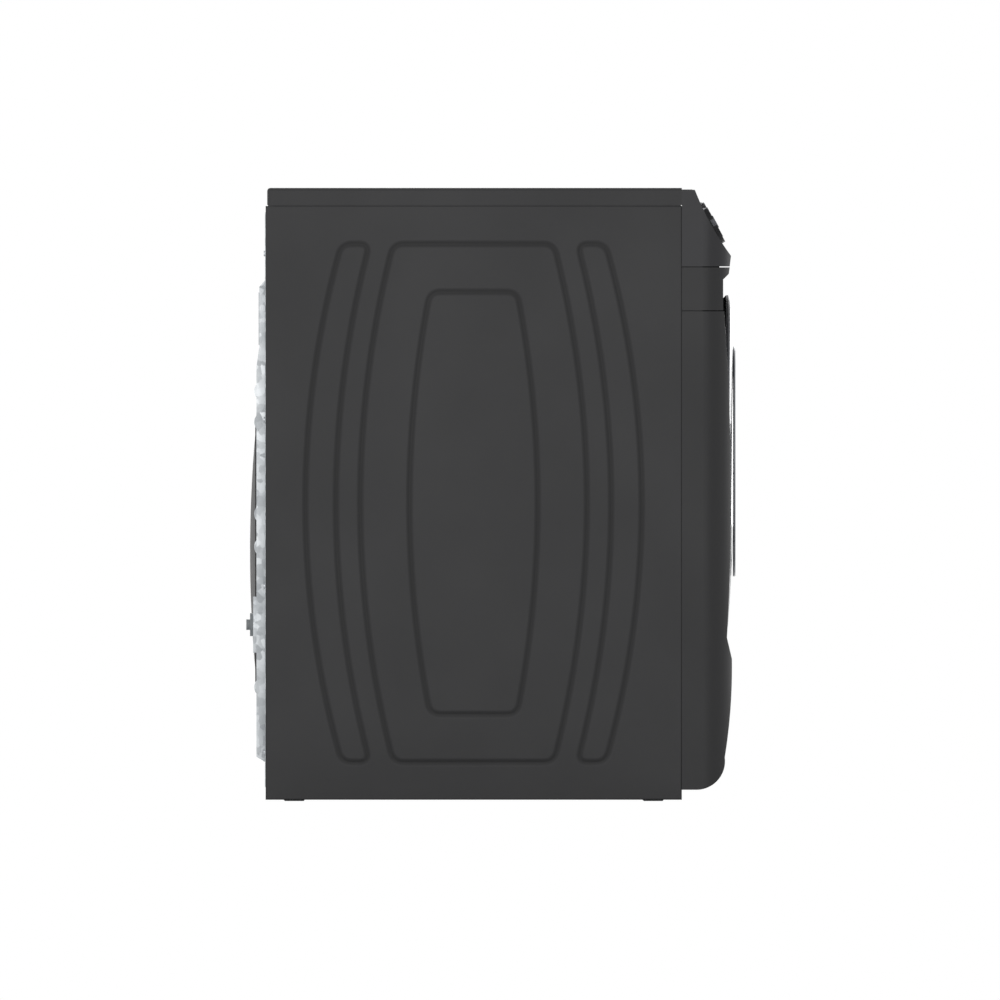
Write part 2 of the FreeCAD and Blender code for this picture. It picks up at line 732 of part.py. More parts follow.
def bulkhead_plate(name, start, end):
    """A flat steel plate from side panel to side panel."""
    return block(name, (f"-{INSIDE}", start, "bulkhead_low"), (INSIDE, end, "bulkhead_high"))


def collar(name, start, end):
    """The pressed collar that a felt sits on."""
    return tube(name, "y", DRUM_AXIS, FELT_IN, f"{FELT_IN} - bulkhead_sheet", start, end)


front_collar_end = f"({FRONT_PLATE_BACK} + collar_deep)"
rear_collar_start = f"({REAR_PLATE} - collar_deep)"
node(cut("front_bulkhead",
         fuse("front_bulkhead_pressed", bulkhead_plate("front_plate", FRONT_PLATE, FRONT_PLATE_BACK),
              collar("front_collar", FRONT_PLATE_BACK, front_collar_end)),
         rod("front_plate_hole", "y", ("0", "door_z"), "opening_radius", f"{FRONT_PLATE} - 1",
             f"{FRONT_PLATE_BACK} + 1")))
air_holes = [rod(f"air_hole_{row}_{column}", "y",
                 (f"heater_x + ({column} - 1.5) * air_pitch", f"heater_high - air_pitch * ({row} + 1)"),
                 "air_hole", f"{REAR_PLATE} - 1", f"{REAR_PLATE_BACK} + 1")
             for row in range(6) for column in range(4)]
node(cut("rear_bulkhead",
         fuse("rear_bulkhead_pressed", bulkhead_plate("rear_plate", REAR_PLATE, REAR_PLATE_BACK),
              collar("rear_collar", rear_collar_start, REAR_PLATE)),
         *air_holes))
node(group(
    "felt_seals",
    tube("front_felt", "y", DRUM_AXIS, FELT_OUT, FELT_IN, f"{FRONT_PLATE_BACK} + drum_gap / 2", front_collar_end),
    tube("rear_felt", "y", DRUM_AXIS, FELT_OUT, FELT_IN, rear_collar_start, f"{REAR_PLATE} - drum_gap / 2")))

DRUM_START = f"({FRONT_PLATE_BACK} + drum_gap)"
DRUM_END = f"({REAR_PLATE} - drum_gap)"
DRUM_IN = "(drum_radius - drum_sheet)"
drum_outline = [(DRUM_IN, DRUM_END), (DRUM_IN, DRUM_START), ("drum_radius", DRUM_START)]
for middle in (f"{DRUM_START} + drum_rib_end", f"({DRUM_START} + {DRUM_END}) / 2 + drum_rib_end",
               f"{DRUM_END} - drum_rib_end"):
    drum_outline += [
        ("drum_radius", f"{middle} - drum_rib_wide / 2"),
        ("drum_radius + drum_rib", f"{middle} - drum_rib_wide / 4"),
        ("drum_radius + drum_rib", f"{middle} + drum_rib_wide / 4"),
        ("drum_radius", f"{middle} + drum_rib_wide / 2")]
drum_outline.append(("drum_radius", DRUM_END))
node(turned("drum", "y", DRUM_AXIS, drum_outline))



def lifter_wedge(name, angle, wall):
    """A lifter's wedge, drawn in by its wall, turned to its place round the drum."""
    wedge = prism(name, "y", [
        (f"{wall} - lifter_base / 2", "-drum_radius"), (f"lifter_base / 2 - {wall}", "-drum_radius"),
        (f"lifter_crest / 2 - {wall}", f"lifter_high - {wall} - {DRUM_IN}"),
        (f"{wall} - lifter_crest / 2", f"lifter_high - {wall} - {DRUM_IN}")],
        f"{DRUM_START} + lifter_end + {wall}", f"{DRUM_END} - lifter_end - {wall}")
    place(wedge, ("0", "0", "drum_z"), Rotation(Vector(0, 1, 0), angle))
    return wedge


lifters = []
for angle in (60, 180, 300):
    bore = rod(f"lifter_seat_{angle}", "y", DRUM_AXIS, DRUM_IN, DRUM_START, DRUM_END)
    solid_lifter = common(f"lifter_solid_{angle}", lifter_wedge(f"lifter_out_{angle}", angle, "0"), bore)
    lifters.append(cut(f"lifter_{angle}", solid_lifter, lifter_wedge(f"lifter_in_{angle}", angle, "lifter_wall")))
node(group("drum_lifters", *lifters))

# ---------------------------------------------------------------- rear rollers on their axles
ROLLER_REACH = "(drum_radius + roller_gap + roller_radius)"
ROLLER_Z = f"(drum_z - {ROLLER_REACH} * cos(roller_angle))"
roller_end = f"({REAR_PLATE} - 8)"
roller_start = f"({roller_end} - roller_wide)"
axles = []
for side, sign in (("left", "-1"), ("right", "1")):
    centre = (f"{sign} * {ROLLER_REACH} * sin(roller_angle)", ROLLER_Z)
    node(turned(f"roller_{side}", "y", centre, [
        ("axle_radius + axle_fit", roller_start), ("roller_radius - 8", roller_start),
        ("roller_radius - 8", f"{roller_start} + 3"), ("roller_radius - 1", f"{roller_start} + 3"),
        ("roller_radius", f"{roller_start} + 4"), ("roller_radius", f"{roller_end} - 4"),
        ("roller_radius - 1", f"{roller_end} - 3"), ("roller_radius - 8", f"{roller_end} - 3"),
        ("roller_radius - 8", roller_end), ("axle_radius + axle_fit", roller_end)]))
    axles.append(turned(f"axle_{side}", "y", centre, [
        ("0", f"{roller_start} - 4"), ("axle_radius + 4", f"{roller_start} - 4"),
        ("axle_radius + 4", f"{roller_start} - 1"), ("axle_radius", f"{roller_start} - 1"),
        ("axle_radius", f"{roller_end} + 1"), ("axle_radius + 3", f"{roller_end} + 1"),
        ("axle_radius + 3", REAR_PLATE), ("0", REAR_PLATE)]))
node(group("roller_axles", *axles))

# ---------------------------------------------------------------- heater box and coils
heater_end = f"({REAR_PLATE_BACK} + heater_deep)"
heater_case = cut(
    "heater_shell",
    block("heater_out", ("heater_x - heater_half", REAR_PLATE_BACK, "heater_low"),
          ("heater_x + heater_half", heater_end, "heater_high")),
    block("heater_in", ("heater_x - heater_half + sheet", f"{REAR_PLATE_BACK} - 1", "heater_low - 1"),
          ("heater_x + heater_half - sheet", f"{heater_end} - sheet", "heater_high - sheet")))
heater_bars = [block(f"coil_bar_{number}", ("heater_x - heater_half", f"{heater_end} - sheet - 4", level),
                     ("heater_x + heater_half", f"{heater_end} - sheet", f"{level} + 8"))
               for number, level in enumerate(("heater_low + 20", "(heater_low + heater_high) / 2 - 4",
                                               "heater_high - 28"))]
node(fuse("heater_box", heater_case, *heater_bars))
coil_y = f"{heater_end} - sheet - 4 - coil_radius"
node(group("heater_coils", *[rod(f"coil_{number}", "z", (f"heater_x + {number} * heater_half / 3", coil_y),
                                 "coil_radius", "heater_low + 15", "heater_high - 15")
                             for number in (-2, -1, 0, 1, 2)]))

# ---------------------------------------------------------------- front panel, skirt and door surround
def front_profile(inward, back):
    """Side profile of the front panel, drawn in by inward; back is the y of its open side."""
    return [
        (back, f"front_top - {inward}"),
        (ahead(f"front_top_face - {inward}"), f"front_top - {inward}", "crown_radius", 1),
        (ahead(f"front_waist_face - {inward}"), "front_waist"),
        (ahead(f"front_roll_face - {inward}"), "front_roll", "roll_radius", 1),
        (ahead(f"front_toe_face - {inward}"), "front_toe", "front_toe_round", 1),
        (ahead(f"front_toe_face - front_toe_round + 3 - {inward}"), f"front_low + {inward}"),
        (back, f"front_low + {inward}")]


def skirt_profile(inward, back):
    """Side profile of the console skirt, from the front panel's seam to the fascia's seam."""
    return [
        (back, f"front_top + seam + {inward}"),
        (ahead(f"skirt_face - {inward}"), f"front_top + seam + {inward}"),
        (ahead(f"skirt_face - {inward}"), "skirt_z"), (ahead(f"chin_face - {inward}"), "chin_z"),
        (ahead(f"chin_face + chin_flare - {inward}"), f"fascia_low - seam - {inward}"),
        (back, f"fascia_low - seam - {inward}")]


def fascia_profile(inward, back):
    """Side profile of the sloped fascia, crowned between the brow and the top."""
    return [
        (back, f"fascia_low + {inward}"),
        (ahead(f"chin_face + chin_flare - {inward}"), f"fascia_low + {inward}"),
        (ahead(f"brow_face - {inward}"), "brow_z", "fascia_bend", 1),
        (ahead(f"console_band + console_lip - {inward}"), f"console_top - {inward}"),
        (back, f"console_top - {inward}")]


def plan_outline(inward, back, corner):
    """Plan of the front: straight sides, rounded upright corners, drawn in by inward."""
    side, face = f"({HALF} - {inward})", f"front_roll_face + 2 - {inward}"
    return [
        (f"-{side}", back), (f"-{side}", ahead(f"{face} - {corner}"), corner, 1),
        (f"-{side} + {corner}", ahead(face)), (f"{side} - {corner}", ahead(face), corner, 1),
        (side, ahead(f"{face} - {corner}")), (side, back)]


def front_blank(name, profile, inward, back, low, high, corner="front_corner"):
    """The side profile run across the dryer, with the plan's rounded corners."""
    run = prism(name + "_run", "x", profile(inward, back), f"{inward} - {HALF}", f"{HALF} - {inward}")
    plan = prism(name + "_plan", "z", plan_outline(inward, back, corner), low, high)
    return common(name, run, plan)


def front_shell(name, profile, low, high, back=FRONT):
    """A folded sheet shell, open towards the cabinet."""
    return cut(name + "_shell", front_blank(name + "_outer", profile, "0", back, low, high),
               front_blank(name + "_inner", profile, "front_sheet", f"{back} + 3", low, high))


RECESS = "(door_radius + door_gap)"
HINGE_X = "(door_radius - hinge_inset)"
STRIKE_X = "(door_radius - strike_inset)"
HANDLE_X = "(door_radius - handle_inset)"
DOOR_AXIS = ("0", "door_z")
floor_front, floor_back = ahead("floor_face"), ahead("floor_face - surround_wall")
recess_out = rod("recess_out", "y", DOOR_AXIS, f"{RECESS} + surround_wall", ahead("door_face + 5"), floor_back)
node(cut("front_panel", front_shell("front", front_profile, "0", "front_top + 1"), recess_out))
recess_top = rod("recess_top", "y", DOOR_AXIS, f"{RECESS} + surround_wall", ahead("door_face + 5"), floor_back)


def seam_lips(name, low, high):
    """Steps that close a seam from behind: one across the front, one as wide as the cabinet."""
    return [block(f"{name}_front", (f"-{HALF} + front_corner + seam_back", ahead("skirt_face - seam_back"), low),
                  (f"{HALF} - front_corner - seam_back", FRONT, high)),
            block(f"{name}_side", (f"-{HALF} + seam_back", ahead("skirt_face / 2"), low),
                  (f"{HALF} - seam_back", FRONT, high))]


node(cut("console_skirt", fuse("skirt_lipped", front_shell("skirt", skirt_profile, "front_top", "fascia_low"),
                               *seam_lips("low_lip", "front_top", "front_top + seam"),
                               *seam_lips("high_lip", "fascia_low - seam", "fascia_low")), recess_top))

front_whole = fuse(
    "front_whole", front_blank("whole_front", front_profile, "0", FRONT, "0", "front_top + 1"),
    front_blank("whole_skirt", skirt_profile, "0", FRONT, "front_top", "fascia_low"),
    block("whole_seam", (f"-{HALF} + front_corner", ahead("skirt_face"), "front_top - 1"),
          (f"{HALF} - front_corner", FRONT, "front_top + seam + 1")))
surround_wall = common("surround_wall", front_whole, tube(
    "surround_tube", "y", DOOR_AXIS, f"{RECESS} + surround_wall", RECESS, ahead("door_face + 5"), floor_back))
surround_floor = tube("surround_floor", "y", DOOR_AXIS, f"{RECESS} + 0.5", "opening_radius", floor_front,
                      floor_back)
switch_x = f"(0 - sqrt(switch_reach ^ 2 - switch_z ^ 2))"
strike_slot = block("strike_slot", (f"-{STRIKE_X} - 6", ahead("floor_face + 1"), "door_z - strike_high / 2 - 3"),
                    (f"-{STRIKE_X} + 6", ahead("floor_face - surround_wall - 1"), "door_z + strike_high / 2 + 3"))
switch_spot = (switch_x, "door_z + switch_z")
switch_hole = rod("switch_hole", "y", switch_spot, "switch_radius + pin_fit", ahead("floor_face + 1"),
                  ahead("floor_face - surround_wall - 1"))
node(cut("door_surround", fuse("surround_whole", surround_wall, surround_floor), strike_slot, switch_hole))

# the liner that leads through the front into the drum, slotted for the lint screen
slot_half = "(lint_half + lint_gap)"
lint_front, lint_back = ahead("lint_face"), ahead("lint_face - lint_thick")
collar_ring = tube("collar_ring", "y", DOOR_AXIS, "opening_radius + collar_wall", "opening_radius",
                   floor_back, FRONT_PLATE)
collar_slot = block("collar_slot", (f"-{slot_half}", f"{lint_front} - lint_gap", "door_z - 2 * opening_radius"),
                    (slot_half, f"{lint_back} + lint_gap", "door_z"))
node(cut("opening_collar", collar_ring, collar_slot))
node(tube("door_seal", "y", DOOR_AXIS, "opening_radius + seal_in + seal_wide", "opening_radius + seal_in",
          ahead("door_back - liner_wall - seal_gap"), floor_front))

# ---------------------------------------------------------------- console
TILT = "atan2(console_top - brow_z; brow_face - console_band - console_lip)"
BAND_BACK = ahead("console_band")


def on_fascia(thing, across, up="0", lift="0"):
    """Stand a thing on the fascia: across the dryer, up the slope, lifted off its chord."""
    thing.Placement = Placement(Vector(), Rotation(Vector(1, 0, 0), 60))
    bind(thing, ".Placement.Rotation.Angle", TILT)
    chord_y = ahead("(brow_face + console_band + console_lip) / 2")
    chord_z = "(console_top + brow_z) / 2"
    bind(thing, ".Placement.Base.x", across)
    bind(thing, ".Placement.Base.y", f"{chord_y} + ({up}) * cos({TILT}) - ({lift}) * sin({TILT})")
    bind(thing, ".Placement.Base.z", f"{chord_z} + ({up}) * sin({TILT}) + ({lift}) * cos({TILT})")
    return thing


def fascia_rod(name, radius, across, low, high, up="0"):
    """A round piece standing on the fascia between two lifts."""
    bar = doc.addObject("Part::Cylinder", name)
    bind(bar, "Radius", radius)
    bind(bar, "Height", f"({high}) - ({low})")
    return on_fascia(bar, across, up, low)


def fascia_block(name, long, high, across, low, top, up="0"):
    """A rectangular piece standing on the fascia, centred across and up the slope."""
    box = doc.addObject("Part::Box", name)
    bind(box, "Length", long)
    bind(box, "Width", high)
    bind(box, "Height", f"({top}) - ({low})")
    return on_fascia(box, f"{across} - ({long}) / 2", f"{up} - ({high}) / 2", low)


BUTTONS = {f"option_button_{number}": f"(dial_x - button_start - {number - 1} * button_pitch)"
           for number in (1, 2)}
BUTTONS["start_button"] = "start_x"
SURFACE = "fascia_crown"
button_holes, button_wells = [], []
for name, across in BUTTONS.items():
    cap = fascia_block(name, "button_long", "button_high", across, f"{SURFACE} + button_proud - button_deep",
                       f"{SURFACE} + button_proud")
    node(cap)
    button_holes.append(fascia_block(f"{name}_hole", "button_long + 2 * button_gap", "button_high + 2 * button_gap",
                                     across, "-fascia_wall - 6", f"{SURFACE} + 3"))
power_cap = node(fascia_rod("power_button", "power_radius", "power_x", f"{SURFACE} + button_proud - button_deep",
                            f"{SURFACE} + button_proud"))
button_holes.append(fascia_rod("power_hole", "power_radius + button_gap", "power_x", "-fascia_wall - 6",
                               f"{SURFACE} + 3"))
dish_floor = f"({SURFACE} - dial_deep)"
dish_cup = fascia_rod("dish_cup", "dial_dish + 2", "dial_x", f"{dish_floor} - 2", f"{SURFACE} - 1")
dish_hollow = fascia_rod("dish_hollow", "dial_dish", "dial_x", dish_floor, f"{SURFACE} + 6")
dial_hole = fascia_rod("dial_hole", "dial_shaft + axle_fit", "dial_x", f"{dish_floor} - 8", f"{dish_floor} + 4")
lens_face = f"({SURFACE} - lens_sunk)"
lens_window = fascia_block("lens_window", "display_long", "display_high", "display_x", "-fascia_wall - 6",
                           f"{SURFACE} + 3")
fascia_skin = cut("fascia_skin", front_blank("fascia_outer", fascia_profile, "0", BAND_BACK, "fascia_low - 1",
                                             "console_top + 1"),
                  front_blank("fascia_inner", fascia_profile, "fascia_wall", f"{BAND_BACK} + 3",
                              "fascia_low - 1", "console_top + 1"))
node(cut("console_fascia", fuse("fascia_dished", fascia_skin, dish_cup), dish_hollow, dial_hole, lens_window,
         *button_holes))
node(fascia_block("display_lens", "display_long", "display_high", "display_x", f"{lens_face} - lens_thick",
                  lens_face))
dial_cap = fascia_rod("dial_cap", "dial_radius", "dial_x", f"{dish_floor} + dial_fit", SURFACE)
dial_shaft = fascia_rod("dial_shaft_rod", "dial_shaft", "dial_x", f"{dish_floor} - 7", f"{dish_floor} + dial_fit")
dial_pointer = fascia_block("dial_pointer", "3", "dial_radius", "dial_x", f"{SURFACE} - 1", f"{SURFACE} + 2",
                            "dial_radius / 2")
node(cut("cycle_dial", fuse("dial_turned", dial_cap, dial_shaft), dial_pointer))
board_left, board_right = "(dial_x - button_start - 1.6 * button_pitch)", "(power_x + power_radius + 4)"
board_top = f"({dish_floor} - 8)"
board_plate = fascia_block("board_plate", f"{board_right} - {board_left}", "board_high",
                           f"({board_left} + {board_right}) / 2", f"{board_top} - board_thick", board_top)
switch_posts = [fascia_block(f"{name}_post", "8", "8", across, f"{board_top} - 0.2",
                             f"{SURFACE} + button_proud - button_deep - button_travel - 0.4")
                for name, across in BUTTONS.items()]
power_post = fascia_rod("power_post", "4", "power_x", f"{board_top} - 0.2",
                        f"{SURFACE} + button_proud - button_deep - button_travel - 0.4")
node(fuse("control_board", board_plate, power_post, *switch_posts))
band_out = block("band_out", (f"-{HALF}", BAND_BACK, "fascia_low"), (HALF, FRONT, "console_top + 0.5"))
band_in = block("band_in", (f"fascia_wall - {HALF}", f"{BAND_BACK} - 1", "fascia_low + fascia_wall"),
                (f"{HALF} - fascia_wall", f"{FRONT} - fascia_wall", "console_top + 0.5 - fascia_wall"))
node(cut("console_housing", band_out, band_in))

# ---------------------------------------------------------------- door
DOOR_BACK = ahead("door_back")
far_front = ahead("door_face + 8")
crown_centre = ("0", ahead("door_face - crown_radius"), "crown_z")


def crowned(name, piece, sunk="0"):
    """The piece kept behind the door's crown, sunk under it."""
    return common(name, piece, ball(name + "_crown", f"crown_radius - {sunk}", crown_centre))


def door_blank(name, inward):
    """The turned blank of the door ring: its edge runs in towards the back."""
    taper_start = ahead("door_back + door_taper")
    return turned(name, "y", DOOR_AXIS, [
        ("0", DOOR_BACK), (f"door_radius - door_taper - {inward}", DOOR_BACK),
        (f"door_radius - {inward}", taper_start), (f"door_radius - {inward}", far_front), ("0", far_front)])


door_outer = crowned("door_outer", door_blank("door_blank", "0"))


def is_door_edge(edge):
    """The door's front rim."""
    box = edge.BoundBox
    return box.XLength > value("2 * door_radius") - 1 and box.YMax < value(ahead("door_back + door_taper")) - 0.5


door_rounded = rounded("door_rounded", door_outer, "door_edge_round", is_door_edge)
door_hollow = crowned("door_hollow", door_blank("door_hollow_blank", "door_wall"), "door_wall")
seat_tube = crowned("seat_tube", tube("seat_tube_blank", "y", DOOR_AXIS, "window_radius + door_wall",
                                      "window_radius - window_lip", far_front, DOOR_BACK), "0.5")
pocket_walls = crowned("pocket_walls", block(
    "pocket_block", (f"-{HANDLE_X} - handle_wide / 2 - door_wall", far_front,
                     "door_z - handle_high / 2 - door_wall"),
    (f"-{HANDLE_X} + handle_wide / 2 + door_wall", ahead("door_face - 5 - handle_deep - door_wall"),
     "door_z + handle_high / 2 + door_wall")), "0.5")
pocket = block("handle_pocket", (f"-{HANDLE_X} - handle_wide / 2", far_front, "door_z - handle_high / 2"),
               (f"-{HANDLE_X} + handle_wide / 2", ahead("door_face - 5 - handle_deep"), "door_z + handle_high / 2"))
window_seat = rod("window_hole", "y", DOOR_AXIS, "window_radius + window_gap", far_front, ahead("window_seat"))
window_well = rod("window_well", "y", DOOR_AXIS, "window_radius - window_lip", far_front, DOOR_BACK)
notch_half = "(knuckle_half + knuckle_gap + bracket_knuckle + 3)"


def hinge_notch(name):
    """Room for the hinge at the edge of the ring and the liner."""
    return block(name, (f"{HINGE_X} - 9", far_front, f"door_z - {notch_half}"),
                 ("door_radius + 2", ahead("door_back - liner_wall - 1"), f"door_z + {notch_half}"))


node(cut("door_ring", fuse("ring_whole", cut("ring_shell", door_rounded, door_hollow), seat_tube, pocket_walls),
         window_seat, window_well, pocket, hinge_notch("ring_notch")))
node(crowned("door_window", rod("window_blank", "y", DOOR_AXIS, "window_radius", far_front,
                                ahead("window_seat"))))
plug_back = ahead("door_back - plug_deep")
liner_back = ahead("door_back - liner_wall")
liner = turned("liner_turned", "y", DOOR_AXIS, [
    ("plug_radius - liner_wall", DOOR_BACK), ("door_radius - door_taper", DOOR_BACK),
    ("door_radius - door_taper", liner_back), ("plug_radius", liner_back),
    ("plug_radius - 4", plug_back), ("inner_glass_radius - 5", plug_back),
    ("inner_glass_radius - 5", f"{plug_back} - liner_wall"),
    ("plug_radius - 4 - liner_wall", f"{plug_back} - liner_wall")])
node(cut("door_liner", liner, hinge_notch("liner_notch")))
node(rod("inner_glass", "y", DOOR_AXIS, "inner_glass_radius",
         f"{plug_back} - liner_wall - inner_glass_thick", f"{plug_back} - liner_wall"))

# hinge: fixed bracket on the surround's floor, leaf on the liner, one pin through both
HINGE = (HINGE_X, ahead("hinge_face"))
HINGE_Y = ahead("hinge_face")


def knuckle(name, low, high):
    """A hinge barrel about the pin."""
    return rod(name, "z", HINGE, "knuckle_radius", low, high)


bracket_parts = []
for name, low, high in (
        ("upper", "door_z + knuckle_half + knuckle_gap", "door_z + knuckle_half + knuckle_gap + bracket_knuckle"),
        ("lower", "door_z - knuckle_half - knuckle_gap - bracket_knuckle", "door_z - knuckle_half - knuckle_gap")):
    bracket_parts.append(knuckle(f"bracket_{name}_barrel", low, high))
    bracket_parts.append(block(f"bracket_{name}_web", (f"{HINGE_X} + 1", HINGE_Y, low),
                               (f"{HINGE_X} + knuckle_radius", floor_front, high)))
bracket_half = "(knuckle_half + knuckle_gap + bracket_knuckle)"
bracket_parts.append(block("bracket_foot", (f"{HINGE_X} - 24", f"{floor_front} - 2.5", f"door_z - {bracket_half}"),
                           (f"{HINGE_X} + knuckle_radius", floor_front, f"door_z + {bracket_half}")))
pin_hole = rod("bracket_pin_hole", "z", HINGE, "pin_radius + pin_fit", f"door_z - {bracket_half} - 1",
               f"door_z + {bracket_half} + 1")
node(cut("hinge_bracket", fuse("bracket_whole", *bracket_parts), pin_hole))
leaf_low, leaf_high = "door_z - knuckle_half", "door_z + knuckle_half"
leaf_plate = block("leaf_plate", (f"{HINGE_X} - leaf_long", f"{HINGE_Y} + knuckle_radius - leaf_thick", leaf_low),
                   (HINGE_X, f"{HINGE_Y} + knuckle_radius", leaf_high))
leaf_foot = block("leaf_foot", (f"{HINGE_X} - leaf_long", f"{HINGE_Y} + knuckle_radius - leaf_thick", leaf_low),
                  (f"{HINGE_X} - leaf_long + 6", DOOR_BACK, leaf_high))
leaf_hole = rod("leaf_pin_hole", "z", HINGE, "pin_radius + pin_fit", f"{leaf_low} - 1", f"{leaf_high} + 1")
node(cut("hinge_leaf", fuse("leaf_whole", knuckle("leaf_barrel", leaf_low, leaf_high), leaf_plate, leaf_foot),
         leaf_hole))
node(rod("hinge_pin", "z", HINGE, "pin_radius", f"door_z - {bracket_half}", f"door_z + {bracket_half}"))

# strike on the liner, catch behind the surround, and the door switch's plunger
strike_low, strike_high_z = "door_z - strike_high / 2", "door_z + strike_high / 2"
strike_foot = block("strike_foot", (f"-{STRIKE_X} - 9", liner_back, f"{strike_low} - 4"),
                    (f"-{STRIKE_X} + 9", f"{liner_back} + 2", f"{strike_high_z} + 4"))
strike_blade = block("strike_blade", (f"-{STRIKE_X} - strike_thick / 2", liner_back, strike_low),
                     (f"-{STRIKE_X} + strike_thick / 2", f"{liner_back} + strike_long", strike_high_z))
strike_eye = block("strike_eye", (f"-{STRIKE_X} - strike_thick", f"{liner_back} + strike_long - 8",
                                  f"{strike_low} + 3"),
                   (f"-{STRIKE_X} + strike_thick", f"{liner_back} + strike_long - 4", f"{strike_high_z} - 3"))
node(cut("door_strike", fuse("strike_whole", strike_foot, strike_blade), strike_eye))
catch_out = block("catch_out", (f"-{STRIKE_X} - 11", floor_back, f"{strike_low} - 9"),
                  (f"-{STRIKE_X} + 11", f"{floor_back} + 24", f"{strike_high_z} + 9"))
catch_in = block("catch_in", (f"-{STRIKE_X} - 5", f"{floor_back} - 1", f"{strike_low} - 2"),
                 (f"-{STRIKE_X} + 5", f"{floor_back} + 18", f"{strike_high_z} + 2"))
node(cut("door_catch", catch_out, catch_in))
plunger_tip = ahead("door_back - liner_wall - 0.5")
node(turned("switch_plunger", "y", switch_spot, [
    ("0", plunger_tip), ("switch_radius - 1", plunger_tip), ("switch_radius", f"{plunger_tip} + 1"),
    ("switch_radius", f"{floor_back} + 5"), ("switch_radius + 2", f"{floor_back} + 5"),
    ("switch_radius + 2", f"{floor_back} + 8"), ("0", f"{floor_back} + 8")]))

# ---------------------------------------------------------------- lint screen and duct
duct_front, duct_back = ahead("duct_face"), behind("scroll_front")


def duct_points(inward, top):
    """The duct seen from the front: as wide as the screen above, round the blower's inlet below."""
    half = f"({slot_half} + duct_wall - {inward})"
    left, right = f"(motor_x - inlet_radius - 10 + {inward})", f"(motor_x + inlet_radius + 34 - {inward})"
    return [
        (f"-{half}", top), (f"-{half}", f"lint_low - 8 + {inward}"),
        (left, "motor_z + inlet_radius + 4"), (left, f"motor_z - inlet_radius - 8 + {inward}"),
        (right, f"motor_z - inlet_radius - 8 + {inward}"), (half, f"lint_low - 14 + {inward}"), (half, top)]


duct_top = "door_z - opening_radius / 2"
duct_out = prism("duct_out", "y", duct_points("0", duct_top), duct_front, duct_back)
duct_in = prism("duct_in", "y", duct_points("duct_wall", f"{duct_top} + 1"), f"{duct_front} + duct_wall",
                f"{duct_back} - duct_wall")
node(cut("lint_duct", duct_out, duct_in,
         rod("duct_mouth", "y", DOOR_AXIS, "opening_radius + collar_wall", ahead("door_face"), duct_back),
         rod("duct_outlet", "y", MOTOR, "inlet_radius", f"{duct_back} - 2 * duct_wall", f"{duct_back} + 1")))
screen_top = "door_z"
screen_block = block("screen_block", ("-lint_half", lint_front, "lint_low"), ("lint_half", lint_back, screen_top))
screen_bore = rod("screen_bore", "y", DOOR_AXIS, "opening_radius", f"{lint_front} - 1", f"{lint_back} + 1")
bar = "lint_bar"
panes = [block(f"screen_pane_{number}", (f"-lint_half + {bar} + {number} * (2 * lint_half - {bar}) / 3",
                                         f"{lint_front} - 1", f"lint_low + {bar}"),
               (f"-lint_half + ({number} + 1) * (2 * lint_half - {bar}) / 3", f"{lint_back} + 1",
                "door_z - opening_radius - lint_head"))
         for number in range(3)]
grip = block("screen_grip", ("-lint_grip", f"{lint_front} + 4", "door_z - opening_radius - lint_head"),
             ("lint_grip", f"{lint_back} - 4", "door_z - opening_radius + lint_grip_high"))
node(fuse("lint_screen", cut("screen_frame", screen_block, screen_bore, *panes), grip))
mesh_y = f"({lint_front} + lint_thick / 2)"
node(group("lint_mesh", *[block(f"mesh_{number}", (
    f"-lint_half + {bar} + {number} * (2 * lint_half - {bar}) / 3", f"{mesh_y} - 0.5", f"lint_low + {bar}"),
    (f"-lint_half + ({number} + 1) * (2 * lint_half - {bar}) / 3", f"{mesh_y} + 0.5",
     "door_z - opening_radius - lint_head")) for number in range(3)]))

# ---------------------------------------------------------------- motor, shaft, blower and exhaust
belt_start, belt_end = behind("belt_face"), behind("belt_face + belt_wide")
wheel_start = f"({duct_back} + duct_wall + 4)"
wheel_end = f"({wheel_start} + wheel_deep)"
scroll_end = behind("scroll_front + scroll_deep")

motor_case = turned("motor_case", "y", MOTOR, [
    ("shaft_radius + axle_fit", motor_start), ("motor_radius - 26", motor_start),
    ("motor_radius - 10", f"{motor_start} + 10"), ("motor_radius", f"{motor_start} + 14"),
    ("motor_radius", f"{motor_end} - 14"), ("motor_radius - 10", f"{motor_end} - 10"),
    ("motor_radius - 26", motor_end), ("shaft_radius + axle_fit", motor_end)])
node(turned("motor_shaft", "y", MOTOR, [
    ("0", f"{wheel_start} + 4"), ("shaft_radius", f"{wheel_start} + 4"), ("shaft_radius", f"{belt_start} - 5"),
    ("pulley_radius + 4", f"{belt_start} - 5"), ("pulley_radius + 4", f"{belt_start} - 1"),
    ("pulley_radius", f"{belt_start} - 1"), ("pulley_radius", f"{belt_end} + 1"),
    ("pulley_radius + 4", f"{belt_end} + 1"), ("pulley_radius + 4", f"{belt_end} + 5"), ("0", f"{belt_end} + 5")]))
hub = turned("wheel_hub", "y", MOTOR, [
    ("shaft_radius", f"{wheel_start} + 4"), ("shaft_radius + 9", f"{wheel_start} + 4"),
    ("shaft_radius + 9", f"{wheel_end} - 3"), ("wheel_radius", f"{wheel_end} - 3"), ("wheel_radius", wheel_end),
    ("shaft_radius", wheel_end)])
wheel_ring = tube("wheel_ring", "y", MOTOR, "wheel_radius", "wheel_radius - 5", wheel_start, f"{wheel_start} + 2")
blades = []
for number in range(24):
    blade = doc.addObject("Part::Box", f"blade_{number}")
    bind(blade, "Length", "18")
    bind(blade, "Width", "wheel_deep - 1")
    bind(blade, "Height", "1.6")
    angle = 15 * number
    place(blade, (f"motor_x + (wheel_radius - 19) * cos({angle})", wheel_start,
                  f"motor_z - (wheel_radius - 19) * sin({angle})"), Rotation(Vector(0, 1, 0), angle))
    blades.append(blade)
